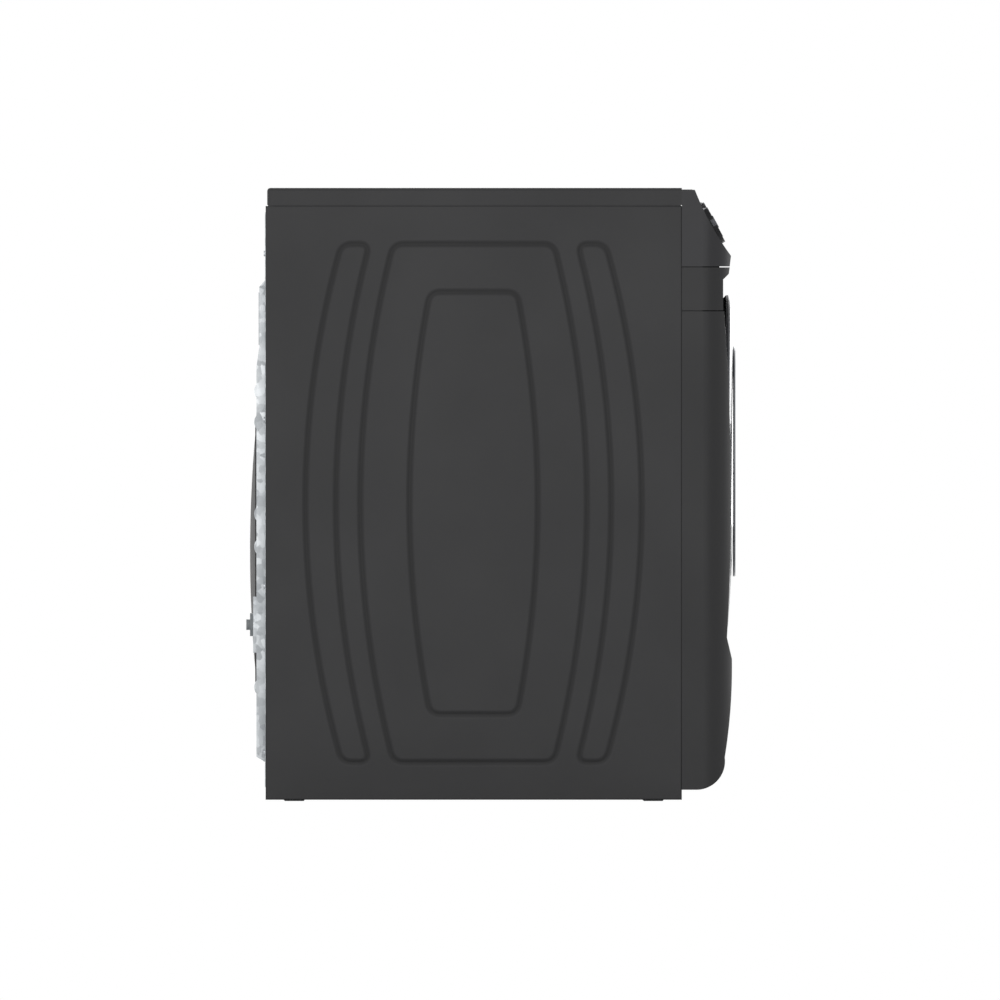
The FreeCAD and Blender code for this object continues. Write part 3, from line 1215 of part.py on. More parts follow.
node(fuse("blower_wheel", hub, wheel_ring, *blades))


def scroll(name, inward, start, end):
    """The blower housing's cavity or outside: a round scroll with an outlet towards the vent."""
    body = rod(name + "_round", "y", MOTOR, f"scroll_radius - {inward}", start, end)
    outlet = block(name + "_outlet", ("motor_x", start, f"vent_z - vent_radius - 4 + {inward}"),
                   (f"vent_x + vent_radius + 4 - {inward}", end, f"vent_z + vent_radius + 4 - {inward}"))
    return fuse(name, body, outlet)


VENT = ("vent_x", "vent_z")
node(cut("blower_housing", scroll("scroll_out", "0", duct_back, scroll_end),
         scroll("scroll_in", "duct_wall", f"{duct_back} + duct_wall", f"{scroll_end} - duct_wall"),
         rod("scroll_inlet", "y", MOTOR, "inlet_radius", f"{duct_back} - 1", f"{duct_back} + 2 * duct_wall"),
         rod("scroll_shaft", "y", MOTOR, "shaft_radius + 3", f"{scroll_end} - 2 * duct_wall", f"{scroll_end} + 1"),
         rod("scroll_vent", "y", VENT, "vent_radius - vent_wall", f"{scroll_end} - 2 * duct_wall",
             f"{scroll_end} + 1")))
vent_end = "(back_edge + pan_lower - 2)"
node(tube("exhaust_duct", "y", VENT, "vent_radius", "vent_radius - vent_wall", scroll_end, vent_end))

# ---------------------------------------------------------------- belt and idler
def touch_normals(big, big_radius, small, small_radius):
    """Unit normals at the two straight runs of a loop round two circles, in the x-z plane."""
    span = small - big
    lean = math.degrees(math.acos((big_radius - small_radius) / span.Length))
    ahead_of = Vector(span).normalize()
    return [Rotation(Vector(0, 1, 0), turn).multVec(ahead_of) for turn in (-lean, lean)]


def loop_face(big, big_radius, small, small_radius):
    """The face inside a loop round two circles: an arc on each and two straight runs."""
    right, left = touch_normals(big, big_radius, small, small_radius)
    far = (big - small).normalize()
    corners = [big + right * big_radius, big + left * big_radius,
               small + left * small_radius, small + right * small_radius]
    edges = [Part.Arc(corners[0], big + far * big_radius, corners[1]).toShape(),
             Part.LineSegment(corners[1], corners[2]).toShape(),
             Part.Arc(corners[2], small - far * small_radius, corners[3]).toShape(),
             Part.LineSegment(corners[3], corners[0]).toShape()]
    return Part.Face(Part.Wire(edges))


drum_centre = Vector(0, value(belt_start), value("drum_z"))
pulley_centre = Vector(value("motor_x"), value(belt_start), value("motor_z"))
drum_line = value("drum_radius + belt_gap")
pulley_line = value("pulley_radius + belt_gap")
thick, wide = value("belt_thick"), value("belt_wide")
belt = node(doc.addObject("Part::Feature", "drum_belt"))
belt_outer = loop_face(drum_centre, drum_line + thick, pulley_centre, pulley_line + thick)
belt_inner = loop_face(drum_centre, drum_line, pulley_centre, pulley_line)
belt.Shape = belt_outer.extrude(Vector(0, wide, 0)).cut(belt_inner.extrude(Vector(0, wide, 0)))

# the idler runs on the outside of the belt's right-hand run, on an arm that lies along that run
run_normal = touch_normals(drum_centre, drum_line, pulley_centre, pulley_line)[0]
run_start = pulley_centre + run_normal * (pulley_line + thick)
run_end = drum_centre + run_normal * (drum_line + thick)
run_way = (run_end - run_start).normalize()
idler_centre = (run_start + (run_end - run_start) * value("idler_place")
                + run_normal * value("idler_radius + belt_gap"))
pivot_centre = idler_centre - run_way * value("idler_arm_long")
arm_turn = math.degrees(math.atan2(-run_way.z, run_way.x))
pulley_middle = f"({belt_start} + {belt_end}) / 2"
idler_low, idler_high = f"{pulley_middle} - idler_wide / 2", f"{pulley_middle} + idler_wide / 2"
idler = (str(idler_centre.x), str(idler_centre.z))
pivot = (str(pivot_centre.x), str(pivot_centre.z))
node(turned("idler_pulley", "y", idler, [
    ("idler_pin + axle_fit", idler_low), ("idler_radius + 1.5", idler_low),
    ("idler_radius + 1.5", f"{belt_start} - 1"), ("idler_radius", f"{belt_start} - 1"),
    ("idler_radius", f"{belt_end} + 1"), ("idler_radius + 1.5", f"{belt_end} + 1"),
    ("idler_radius + 1.5", idler_high), ("idler_pin + axle_fit", idler_high)]))
arm_start, arm_end = f"({idler_low} - 1 - arm_thick)", f"({idler_low} - 1)"
arm_bar = doc.addObject("Part::Box", "arm_bar")
bind(arm_bar, "Length", "idler_arm_long")
bind(arm_bar, "Width", "arm_thick")
bind(arm_bar, "Height", "2 * arm_half")
place(arm_bar, (f"{pivot_centre.x} - arm_half * {math.sin(math.radians(arm_turn))}", arm_start,
                f"{pivot_centre.z} - arm_half * {math.cos(math.radians(arm_turn))}"),
      Rotation(Vector(0, 1, 0), arm_turn))
arm_parts = [arm_bar, rod("arm_eye", "y", pivot, "arm_half + 2", arm_start, arm_end),
             rod("arm_tip", "y", idler, "arm_half", arm_start, arm_end),
             rod("arm_pin", "y", idler, "idler_pin", arm_start, f"{idler_high} + 2"),
             rod("arm_pin_head", "y", idler, "idler_pin + 2", f"{idler_high} + 0.5", f"{idler_high} + 3")]
node(cut("idler_arm", fuse("arm_whole", *arm_parts),
         rod("arm_pivot_hole", "y", pivot, "pivot_pin + axle_fit", f"{arm_start} - 1", f"{arm_end} + 1")))
post_start = behind("motor_face + motor_long - 8")
idler_post = turned("idler_post", "y", pivot, [
    ("0", post_start), ("pivot_pin + 4", post_start), ("pivot_pin + 4", f"{arm_start} - 0.5"),
    ("pivot_pin", f"{arm_start} - 0.5"), ("pivot_pin", f"{arm_end} + 1"), ("pivot_pin + 3", f"{arm_end} + 1"),
    ("pivot_pin + 3", f"{arm_end} + 3"), ("0", f"{arm_end} + 3")])
node(fuse("motor", motor_case, idler_post))
node(tube("idler_spring", "y", pivot, "pivot_pin + 4 + spring_wire", "pivot_pin + 4", f"{motor_end} + 1",
          f"{arm_start} - 1"))


# ---------------------------------------------------------------- checks and export
doc.recompute()
faults = [thing.Name for thing in doc.Objects if {"Invalid", "Error"} & set(thing.State)]
if faults:
    raise SystemExit(f"these objects failed: {', '.join(faults)}")
for piece in NODES:
    if piece.Shape.isNull() or not piece.Shape.isValid() or not piece.Shape.Solids:
        raise SystemExit(f"{piece.Label} has no valid solid")
if len({piece.Label for piece in NODES}) != len(NODES) or len(NODES) > 60:
    raise SystemExit("each node needs its own name, and there may be 60 at most")

os.makedirs("parts", exist_ok=True)
for piece in NODES:
    piece.Shape.exportStep(f"parts/{piece.Label}.step")
print(f"{len(NODES)} nodes written")
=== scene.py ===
# %% [markdown]
# # A front-loading clothes dryer
#
# This lesson dresses a finished mechanical model of a clothes dryer. The mechanical model already has
# every panel, hinge, roller and screw at its real size, in metres, with +Z up and the door facing -Y.
# Each cell adds one finish or one piece and prints what it made.

# %% Load the mechanical model
import bpy
import bmesh
import math
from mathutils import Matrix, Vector


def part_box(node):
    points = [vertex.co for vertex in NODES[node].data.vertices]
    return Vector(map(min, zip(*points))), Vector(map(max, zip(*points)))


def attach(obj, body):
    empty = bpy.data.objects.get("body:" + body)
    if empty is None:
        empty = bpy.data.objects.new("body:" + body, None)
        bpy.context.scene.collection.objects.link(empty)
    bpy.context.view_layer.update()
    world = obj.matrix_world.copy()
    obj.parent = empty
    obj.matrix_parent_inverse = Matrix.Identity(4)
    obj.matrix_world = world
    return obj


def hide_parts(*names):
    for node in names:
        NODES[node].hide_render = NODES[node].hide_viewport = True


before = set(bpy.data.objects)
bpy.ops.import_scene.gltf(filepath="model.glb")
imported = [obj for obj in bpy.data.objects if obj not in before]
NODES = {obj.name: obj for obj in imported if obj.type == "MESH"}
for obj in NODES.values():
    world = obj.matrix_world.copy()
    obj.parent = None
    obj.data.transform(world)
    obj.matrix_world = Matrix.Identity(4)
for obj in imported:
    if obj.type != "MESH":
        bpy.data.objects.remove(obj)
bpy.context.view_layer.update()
scene = bpy.context.scene

# %% [markdown]
# ## Colours and nodes
#
# Paint colours are easiest to name as sRGB hex, the way a paint chart gives them. A shader works in
# linear light, so one function turns the hex into linear numbers. One small function adds a node: its
# own settings are given by name, and its sockets take either a value or another node's output.


# %% Two helpers for every material
def linear(code, alpha=1.0):
    """An sRGB hex colour as linear numbers."""
    channels = [int(code[place:place + 2], 16) / 255 for place in (1, 3, 5)]
    return (*[c / 12.92 if c <= 0.04045 else ((c + 0.055) / 1.055) ** 2.4 for c in channels], alpha)


def add(tree, kind, sockets=None, **settings):
    """Add a node with its settings; a socket takes a value or the output that feeds it."""
    node = tree.nodes.new(kind)
    for name, setting in settings.items():
        setattr(node, name, setting)
    for name, value in (sockets or {}).items():
        if isinstance(value, bpy.types.NodeSocket):
            tree.links.new(value, node.inputs[name])
        else:
            node.inputs[name].default_value = value
    return node


print("mid grey is", [round(v, 3) for v in linear("#808080")])

# %% [markdown]
# ## A finish is colour, gloss and a skin
#
# Nearly every finish here is one Principled shader with three small touches. The colour drifts a
# little across a large part. The gloss drifts too, because hands and dust never leave it even. The
# skin is a fine bump: orange peel on enamel, grain on moulded plastic. One function sets these up, and
# each finish then gives its own real numbers.

MM = 0.001


# %% The base that the finishes share
def finish(name, colour, shade, roughness, metallic=0.0, drift_mm=180, drift=0.25, rough_drift=0.06,
           skin_mm=1.2, skin_deep=0.02, **sockets):
    """A Principled finish: colour drifts towards shade, roughness drifts, and a fine skin lies on it."""
    material = bpy.data.materials.new(name)
    material.use_nodes = True
    tree = material.node_tree
    tree.nodes.clear()
    place = add(tree, "ShaderNodeTexCoord").outputs["Object"]
    cloud = add(tree, "ShaderNodeTexNoise", {"Vector": place, "Scale": 1 / (drift_mm * MM), "Detail": 4.0})
    amount = add(tree, "ShaderNodeMapRange", {
        "Value": cloud.outputs["Fac"], "From Min": 0.35, "From Max": 0.65, "To Min": 0.0, "To Max": drift})
    hue = add(tree, "ShaderNodeMix", data_type="RGBA")
    hue.inputs["A"].default_value = linear(colour)
    hue.inputs["B"].default_value = linear(shade)
    tree.links.new(amount.outputs["Result"], hue.inputs["Factor"])
    gloss = add(tree, "ShaderNodeMapRange", {
        "Value": cloud.outputs["Fac"], "From Min": 0.3, "From Max": 0.7,
        "To Min": roughness - rough_drift, "To Max": roughness + rough_drift})
    grain = add(tree, "ShaderNodeTexNoise", {"Vector": place, "Scale": 1 / (skin_mm * MM), "Detail": 2.0})
    bump = add(tree, "ShaderNodeBump", {"Height": grain.outputs["Fac"], "Distance": skin_deep * MM,
                                        "Strength": 1.0})
    shader = add(tree, "ShaderNodeBsdfPrincipled", {
        "Base Color": hue.outputs[2], "Roughness": gloss.outputs["Result"], "Metallic": metallic,
        "Normal": bump.outputs["Normal"], **sockets})
    add(tree, "ShaderNodeOutputMaterial", {"Surface": shader.outputs["BSDF"]})
    shader.name = "Shader"
    bump.name = "Skin"
    hue.name = "Hue"
    return material


def part_of(material, name):
    """One of the named nodes of a finish."""
    return material.node_tree.nodes[name]


print("finish() is ready")

# %% [markdown]
# ## Graphite enamel
#
# The cabinet is sheet steel with a baked enamel coat. Sprayed enamel levels almost flat, but not
# quite: it keeps a faint orange peel with dimples about 2 mm apart. It hides the metal, so it is a
# dielectric: metallic 0, IOR 1.5, and a satin roughness near 0.45.

# %% Enamel for the cabinet and the front
def paint_groove_shade(material, shade):
    """Darken a finish towards a shade colour where its sheet bends: painted shade in the pressed grooves,
    read from a per-vertex groove mask.
    """
    tree = material.node_tree
    depth = add(tree, "ShaderNodeAttribute", attribute_name="press_depth")
    line = add(tree, "ShaderNodeMix", data_type="RGBA")
    line.inputs["B"].default_value = linear(shade)
    tree.links.new(depth.outputs["Fac"], line.inputs["Factor"])
    tree.links.new(part_of(material, "Hue").outputs[2], line.inputs["A"])
    tree.links.new(line.outputs[2], part_of(material, "Shader").inputs["Base Color"])
    return material


SATIN = {"IOR": 1.5, "Specular IOR Level": 0.25}
# The cabinet enamel darkens to #121213 in the pressed grooves: painted shade in the creases.
ENAMEL = paint_groove_shade(finish("graphite_enamel", "#252526", "#222223", 0.46, skin_mm=2.0, skin_deep=0.012,
                             rough_drift=0.04, **SATIN), "#121213")
# A darker copy of the same enamel for the front panel and console skirt: painted shade for the light falling
# off round the front's rounded faces.
ENAMEL_FRONT_PAINTED_SHADE = finish("graphite_enamel_front_painted_shade", "#1F1F20", "#1C1C1D", 0.4, skin_mm=2.0, skin_deep=0.01,
                      rough_drift=0.04, **SATIN)
print(ENAMEL.name, "and", ENAMEL_FRONT_PAINTED_SHADE.name)

# %% [markdown]
# ## Hot-dip galvanised steel
#
# The rear panel is galvanised sheet. The zinc freezes in flat crystals called spangle, 6 to 20 mm
# across, each with its own grey because each crystal tilts its own way. A Voronoi texture gives the
# crystals, warped by a little noise so that their edges aren't straight. A second, finer layer gives
# the feathered growth lines. White rust blooms softly in patches.


# %% Zinc spangle
def galvanised(name, light, dark, spangle_mm=11, roughness=0.42):
    """Galvanised steel: crystals of zinc, each with its own grey and gloss."""
    material = finish(name, light, dark, roughness, metallic=0.85, drift_mm=140, drift=0.6, skin_mm=4,
                      skin_deep=0.02)
    tree = material.node_tree
    place = tree.nodes["Texture Coordinate"].outputs["Object"]
    warp = add(tree, "ShaderNodeTexNoise", {"Vector": place, "Scale": 1 / (spangle_mm * 0.6 * MM),
                                            "Detail": 3.0})
    bend = add(tree, "ShaderNodeMix", {"Factor": 0.004}, data_type="VECTOR")
    tree.links.new(place, bend.inputs["A"])
    tree.links.new(warp.outputs["Color"], bend.inputs["B"])
    crystal = add(tree, "ShaderNodeTexVoronoi", {"Vector": bend.outputs[1], "Scale": 1 / (spangle_mm * MM),
                                                 "Randomness": 1.0})
    grey = add(tree, "ShaderNodeMapRange", {
        "Value": crystal.outputs["Color"], "From Min": 0.1, "From Max": 0.9, "To Min": 0.0, "To Max": 0.55})
    tint = add(tree, "ShaderNodeMix", data_type="RGBA", blend_type="MULTIPLY")
    tree.links.new(grey.outputs["Result"], tint.inputs["Factor"])
    tree.links.new(part_of(material, "Hue").outputs[2], tint.inputs["A"])
    tint.inputs["B"].default_value = linear("#B4B6B8")
    tree.links.new(tint.outputs[2], part_of(material, "Shader").inputs["Base Color"])
    gloss = add(tree, "ShaderNodeMapRange", {
        "Value": crystal.outputs["Color"], "From Min": 0.0, "From Max": 1.0,
        "To Min": roughness - 0.1, "To Max": roughness + 0.12})
    tree.links.new(gloss.outputs["Result"], part_of(material, "Shader").inputs["Roughness"])
    return material


GALVANISED = galvanised("galvanised_steel", "#C2C5C7", "#9FA3A6")
print(GALVANISED.name, "with", len(GALVANISED.node_tree.nodes), "nodes")

# %% [markdown]
# ## Moulded plastics
#
# The rear cover, ducts and blower are glass-filled polypropylene, black, with a spark-eroded grain from
# the mould, here drawn 1 mm from peak to peak so that it shows. The console is ABS in the cabinet's
# graphite, smoother and glossier. Both are dielectrics with an IOR near 1.5.

# %% Plastics
BLACK_PP = finish("black_polypropylene", "#131314", "#19191A", 0.55, skin_mm=1.0, skin_deep=0.05, IOR=1.49)
GREY_PP = finish("grey_polypropylene", "#8C8F91", "#83868A", 0.5, skin_mm=1.0, skin_deep=0.03, IOR=1.49)
CONSOLE_ABS = finish("graphite_abs", "#232325", "#202022", 0.36, skin_mm=1.2, skin_deep=0.008,
                     rough_drift=0.03, **SATIN)
WHITE_NYLON = finish("white_nylon", "#D9DADB", "#CDCFD0", 0.42, skin_mm=1.0, skin_deep=0.01, IOR=1.53)
VALVE_PLASTIC = finish("grey_valve_nylon", "#6F7375", "#666A6C", 0.45, skin_mm=1.0, skin_deep=0.03, IOR=1.53)
print("plastics:", BLACK_PP.name, GREY_PP.name, CONSOLE_ABS.name, WHITE_NYLON.name, VALVE_PLASTIC.name)

# %% [markdown]
# ## Metals inside and on the trim
#
# Screws, pins and brackets are zinc plated. The drum is stainless steel, brushed round its axis, so
# its fine lines run round it: a noise stretched a hundred times along the turn. The door's bezel and
# the dial are vapour-chromed plastic with a dark satin coat. A metal keeps its default IOR.


# %% Plated, brushed and chromed
def brushed(name, colour, shade, roughness, centre, line_mm=1.4, stretch=60.0):
    """A metal with fine lines round the y axis through a centre."""
    material = finish(name, colour, shade, roughness, metallic=1.0, drift_mm=90, drift=0.5)
    tree = material.node_tree
    place = tree.nodes["Texture Coordinate"].outputs["Object"]
    local = add(tree, "ShaderNodeVectorMath", {0: place, 1: centre}, operation="SUBTRACT")
    apart = add(tree, "ShaderNodeSeparateXYZ", {"Vector": local.outputs["Vector"]})
    square = [add(tree, "ShaderNodeMath", {0: apart.outputs[axis], 1: 2.0}, operation="POWER").outputs[0]
              for axis in ("X", "Z")]
    total = add(tree, "ShaderNodeMath", {0: square[0], 1: square[1]}, operation="ADD")
    radius = add(tree, "ShaderNodeMath", {0: total.outputs[0], 1: 0.5}, operation="POWER")
    turn = add(tree, "ShaderNodeMath", {0: apart.outputs["Z"], 1: apart.outputs["X"]}, operation="ARCTAN2")
    slow = add(tree, "ShaderNodeMath", {0: turn.outputs[0], 1: 1 / stretch}, operation="MULTIPLY")
    lines = add(tree, "ShaderNodeCombineXYZ", {"X": radius.outputs[0], "Y": apart.outputs["Y"],
                                               "Z": slow.outputs[0]})
    scratch = add(tree, "ShaderNodeTexNoise", {"Vector": lines.outputs["Vector"], "Scale": 1 / (line_mm * MM),
                                               "Detail": 3.0})
    tree.links.new(scratch.outputs["Fac"], part_of(material, "Skin").inputs["Height"])
    gloss = add(tree, "ShaderNodeMapRange", {
        "Value": scratch.outputs["Fac"], "From Min": 0.3, "From Max": 0.7,
        "To Min": roughness - 0.08, "To Max": roughness + 0.1})
    tree.links.new(gloss.outputs["Result"], part_of(material, "Shader").inputs["Roughness"])
    return material


DRUM_AXIS = (0.0, 0.0, 0.56)
DOOR_CENTRE = (0.0, 0.0, 0.545)
STAINLESS = brushed("brushed_stainless_drum", "#C6C7C9", "#B7B9BB", 0.3, DRUM_AXIS)
ZINC = finish("zinc_plated_steel", "#B9BCC0", "#A3A7AA", 0.32, metallic=1.0, drift_mm=25, drift=0.6,
              skin_mm=0.8, skin_deep=0.01)
DARK_CHROME = brushed("dark_satin_chrome", "#4A4B4E", "#414245", 0.24, DOOR_CENTRE, line_mm=0.9)
NICHROME = finish("nichrome_wire", "#6B5F55", "#4F4741", 0.4, metallic=1.0, drift_mm=12, drift=0.8)
MOTOR_STEEL = finish("motor_black_enamel", "#26282A", "#202224", 0.36, skin_mm=2.0, skin_deep=0.02, IOR=1.5)
print("metals:", STAINLESS.name, ZINC.name, DARK_CHROME.name, NICHROME.name, MOTOR_STEEL.name)

# %% [markdown]
# ## Rubber, felt, wire cloth and circuit board
#
# Rubber is nearly black, rough, with a faint bloom. The drum's felt seals are wool: fuzzy fibres a
# millimetre or so long, which catch light at the edge, so the shader's sheen is on. The lint screen is a
# woven wire cloth, drawn with a 2.4 mm mesh because its real 0.8 mm mesh is too fine to show.

# %% Soft and fine finishes
RUBBER = finish("black_rubber", "#17181A", "#232426", 0.72, skin_mm=1.5, skin_deep=0.05, IOR=1.52)
FELT = finish("wool_felt", "#B9B1A0", "#9D9687", 0.95, skin_mm=0.9, skin_deep=0.5, drift_mm=12, drift=0.7,
              IOR=1.45, **{"Sheen Weight": 0.4, "Sheen Roughness": 0.6})
BOARD = finish("circuit_board", "#1E4A2B", "#173D23", 0.4, skin_mm=1.5, skin_deep=0.01, IOR=1.55)


def woven(name, colour, shade, mesh_mm):
    """Wire cloth: two sets of wires that cross, each passing over and under, with painted shade darkening the
    gaps between them.
    """
    material = finish(name, colour, shade, 0.4, metallic=1.0)
    tree = material.node_tree
    place = tree.nodes["Texture Coordinate"].outputs["Object"]
    waves = [add(tree, "ShaderNodeTexWave", {"Vector": place, "Scale": 1 / (mesh_mm * MM * 6.2832) * 3.1416},
                 bands_direction=axis).outputs["Fac"] for axis in ("X", "Z")]
    cloth = add(tree, "ShaderNodeMath", {0: waves[0], 1: waves[1]}, operation="MAXIMUM")
    tree.links.new(cloth.outputs[0], part_of(material, "Skin").inputs["Height"])
    part_of(material, "Skin").inputs["Distance"].default_value = 0.4 * MM
    # The low parts between the wires are darkened to #2A2B2C: painted shade in the gaps of the cloth.
    painted_gap_shade = add(tree, "ShaderNodeMapRange", {"Value": cloth.outputs[0], "From Min": 0.4, "From Max": 0.9,
                                                 "To Min": 1.0, "To Max": 0.0})
    tree.links.new(painted_gap_shade.outputs["Result"], part_of(material, "Hue").inputs["Factor"])
    part_of(material, "Hue").inputs["B"].default_value = linear("#2A2B2C")
    return material


WIRE_CLOTH = woven("woven_wire_cloth", "#B4B6B8", "#6A6C6E", mesh_mm=2.4)
print("soft and fine:", RUBBER.name, FELT.name, BOARD.name, WIRE_CLOTH.name)

# %% [markdown]
# ## Glass
#
# The door's outer pane is tempered glass with a smoked tint: light passes twice through a thin grey, so
# the drum behind shows only faintly. The inner bowl is clear borosilicate. Glass has IOR 1.52 and a
# very low roughness; wiping leaves a soft haze, which the drift of roughness gives.

# %% Smoked, clear and printed glass
SMOKED_GLASS = finish("smoked_glass", "#8A8D91", "#86898D", 0.05, skin_mm=60, skin_deep=0.002, IOR=1.52,
                      rough_drift=0.02, **{"Transmission Weight": 0.92})
CLEAR_GLASS = finish("clear_borosilicate", "#E4ECEA", "#DDE6E4", 0.04, skin_mm=60, skin_deep=0.002, IOR=1.47,
                     rough_drift=0.02, **{"Transmission Weight": 1.0})
DISPLAY_GLASS = finish("black_display_glass", "#08090A", "#0B0C0E", 0.07, skin_mm=60, skin_deep=0.002,
                       IOR=1.52, rough_drift=0.02)
print("glass:", SMOKED_GLASS.name, CLEAR_GLASS.name, DISPLAY_GLASS.name)

# %% [markdown]
# ## Dressing the mechanical nodes
#
# Many pieces need no new shape: a turned shaft or a folded bracket is already right. They keep their
# own mesh and only get their real finish.

# %% Finishes for the pieces that keep their mesh
WEARS = {
    ENAMEL: ["left_side_panel", "right_side_panel", "top_panel", "base_pan"],
    # The front panel and skirt wear the darker painted-shade copy of the enamel.
    ENAMEL_FRONT_PAINTED_SHADE: ["front_panel", "console_skirt"],
    GALVANISED: ["rear_panel", "terminal_cover", "front_bulkhead", "rear_bulkhead", "heater_box",
                 "exhaust_duct"],
    ZINC: ["panel_screws", "roller_axles", "hinge_bracket", "hinge_leaf", "hinge_pin", "door_strike",
           "motor_shaft", "idler_arm", "idler_spring", "foot_front_left", "foot_front_right",
           "foot_rear_left", "foot_rear_right"],
    BLACK_PP: ["rear_cover", "terminal_block", "door_catch", "lint_duct", "blower_wheel", "blower_housing",
               "idler_pulley"],
    GREY_PP: ["opening_collar", "drum_lifters", "door_liner", "lint_screen"],
    CONSOLE_ABS: ["console_fascia", "console_housing", "door_surround"],
    DARK_CHROME: ["door_ring", "cycle_dial", "option_button_1", "option_button_2", "start_button",
                  "power_button"],
    STAINLESS: ["drum"],
    RUBBER: ["door_seal", "roller_left", "roller_right", "drum_belt"],
    FELT: ["felt_seals"],
    NICHROME: ["heater_coils"],
    MOTOR_STEEL: ["motor"],
    WHITE_NYLON: ["switch_plunger"],
    VALVE_PLASTIC: ["water_valve"],
    BOARD: ["control_board"],
    WIRE_CLOTH: ["lint_mesh"],
    SMOKED_GLASS: ["door_window"],
    CLEAR_GLASS: ["inner_glass"],
    DISPLAY_GLASS: ["display_lens"],
}
for material, names in WEARS.items():
    for name in names:
        for place in NODES[name].material_slots:
            place.material = material
print("dressed", sum(len(names) for names in WEARS.values()), "of", len(NODES), "nodes")

# %% [markdown]
# ## New pieces
#
# Where the mechanical mesh is too plain, a new piece stands for it. It must move with the same body, so
# each new piece is parented to the body that carries it, and the mechanical nodes it stands for are hidden.


# %% A piece from a mesh
def piece(name, shape, material, body, *nodes, thickness=0.0):
    """Turn a bmesh into a piece that rides on a body and may stand for CAD nodes."""
    data = bpy.data.meshes.new(name)
    shape.to_mesh(data)
    shape.free()
    made = bpy.data.objects.new(name, data)
    scene.collection.objects.link(made)
    data.materials.append(material)
    if thickness:
        wall = made.modifiers.new("sheet_thickness", "SOLIDIFY")
        wall.thickness = thickness * MM
        wall.offset = -1
    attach(made, body)
    if nodes:
        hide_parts(*nodes)
    return made


print("piece() makes a mesh that rides on a body")

# %% [markdown]
# ## The pressed sides
#
# Each side is one steel sheet. A die presses a tall barrel-shaped groove into it, a smaller one inside
# that, and a curved slot on each flank. The grooves stiffen a sheet that would otherwise drum. A
# displaced grid would need a vertex every millimetre over two thirds of a square metre. Nested outlines
# are cheaper: many points only where the sheet bends, and one flat field between grooves.

# %% The grooves' sizes, in millimetres
PRESS_MIDDLE = 27
PRESS_SWEEP = [7.6, 7.0, 5.6, 4.2, 2.8, 1.4, 0.0, -1.4, -2.8, -4.2, -5.6, -7.0, -7.6]
PRESS_HALF = 7.0
PRESS_DEEP = 1.5
CORNER = 17
SHEET = 1.2
FOLD = 2.0
FOLD_STEPS = 4
OUTER = {"low": 62, "high": 894}
INNER = {"low": 139, "high": 817}
print("a groove is", 2 * PRESS_HALF, "mm wide and", PRESS_DEEP, "mm deep in", SHEET, "mm sheet")


# %% A barrel side, and an outline with rounded corners
def bowed(half, bow, low, high, level):
    """The half width at a level of a side that bows out as an arc."""
    tall = (high - low) / 2
    radius = (tall ** 2 + bow ** 2) / (2 * bow)
    return half - radius + math.sqrt(radius ** 2 - (level - (low + high) / 2) ** 2)


def outline(near, far, low, high, steps=30, bend_steps=7):
    """Points round a field between two bowed sides, each given as (half width, bow, sign)."""
    def at(side, level):
        half, bow, sign = side
        return Vector((PRESS_MIDDLE + sign * bowed(half, bow, low, high, level), level))

    levels = [low + CORNER + (high - low - 2 * CORNER) * step / steps for step in range(steps + 1)]
    inward = Vector((-CORNER, 0))
    corners = [(at(far, levels[-1]), at(far, high), at(far, high) + inward),
               (at(near, high) - inward, at(near, high), at(near, levels[-1])),
               (at(near, levels[0]), at(near, low), at(near, low) - inward),
               (at(far, low) + inward, at(far, low), at(far, levels[0]))]
    parts = [k / bend_steps for k in range(1, bend_steps)]
    bends = [[(1 - t) ** 2 * a + 2 * t * (1 - t) * b + t ** 2 * c for t in parts] for a, b, c in corners]
    return ([at(far, level) for level in levels] + bends[0] + [corners[0][2], corners[1][0]] + bends[1]
            + [at(near, level) for level in reversed(levels)] + bends[2] + [corners[2][2], corners[3][0]]
            + bends[3])


FIELDS = {
    "outer": outline((182, 53, -1), (182, 53, 1), **OUTER),
    "inner": outline((103, 33, -1), (103, 33, 1), **INNER),
    "rear_slot": outline((221, 54, 1), (270, 58, 1), **OUTER),
    "front_slot": outline((270, 58, -1), (221, 54, -1), **OUTER),
}
print("outline points:", {name: len(points) for name, points in FIELDS.items()})


# %% Outlines side by side
def grown(points, by):
    """An outline moved outwards along its own normals."""
    moved = []
    for before, here, after in zip(points[-1:] + points[:-1], points, points[1:] + points[:1]):
        run = (here - before).normalized() + (after - here).normalized()
        moved.append(here + by * Vector((run.y, -run.x)).normalized())
    return moved


def sunk(offset):
    """The groove's depth at a distance from its middle: a smooth valley."""
    rise = max(0.0, 1 - abs(offset) / PRESS_HALF)
    return PRESS_DEEP * rise * rise * (3 - 2 * rise)


print("depths:", [round(sunk(offset), 2) for offset in PRESS_SWEEP])

# %% [markdown]
# The field between two grooves is filled with flat triangles. Blender averages a vertex's normal over
# the faces round it, so each field starts with a narrow flat border: its normals then stay square to
# the sheet, and the bend's shading doesn't leak over the field.


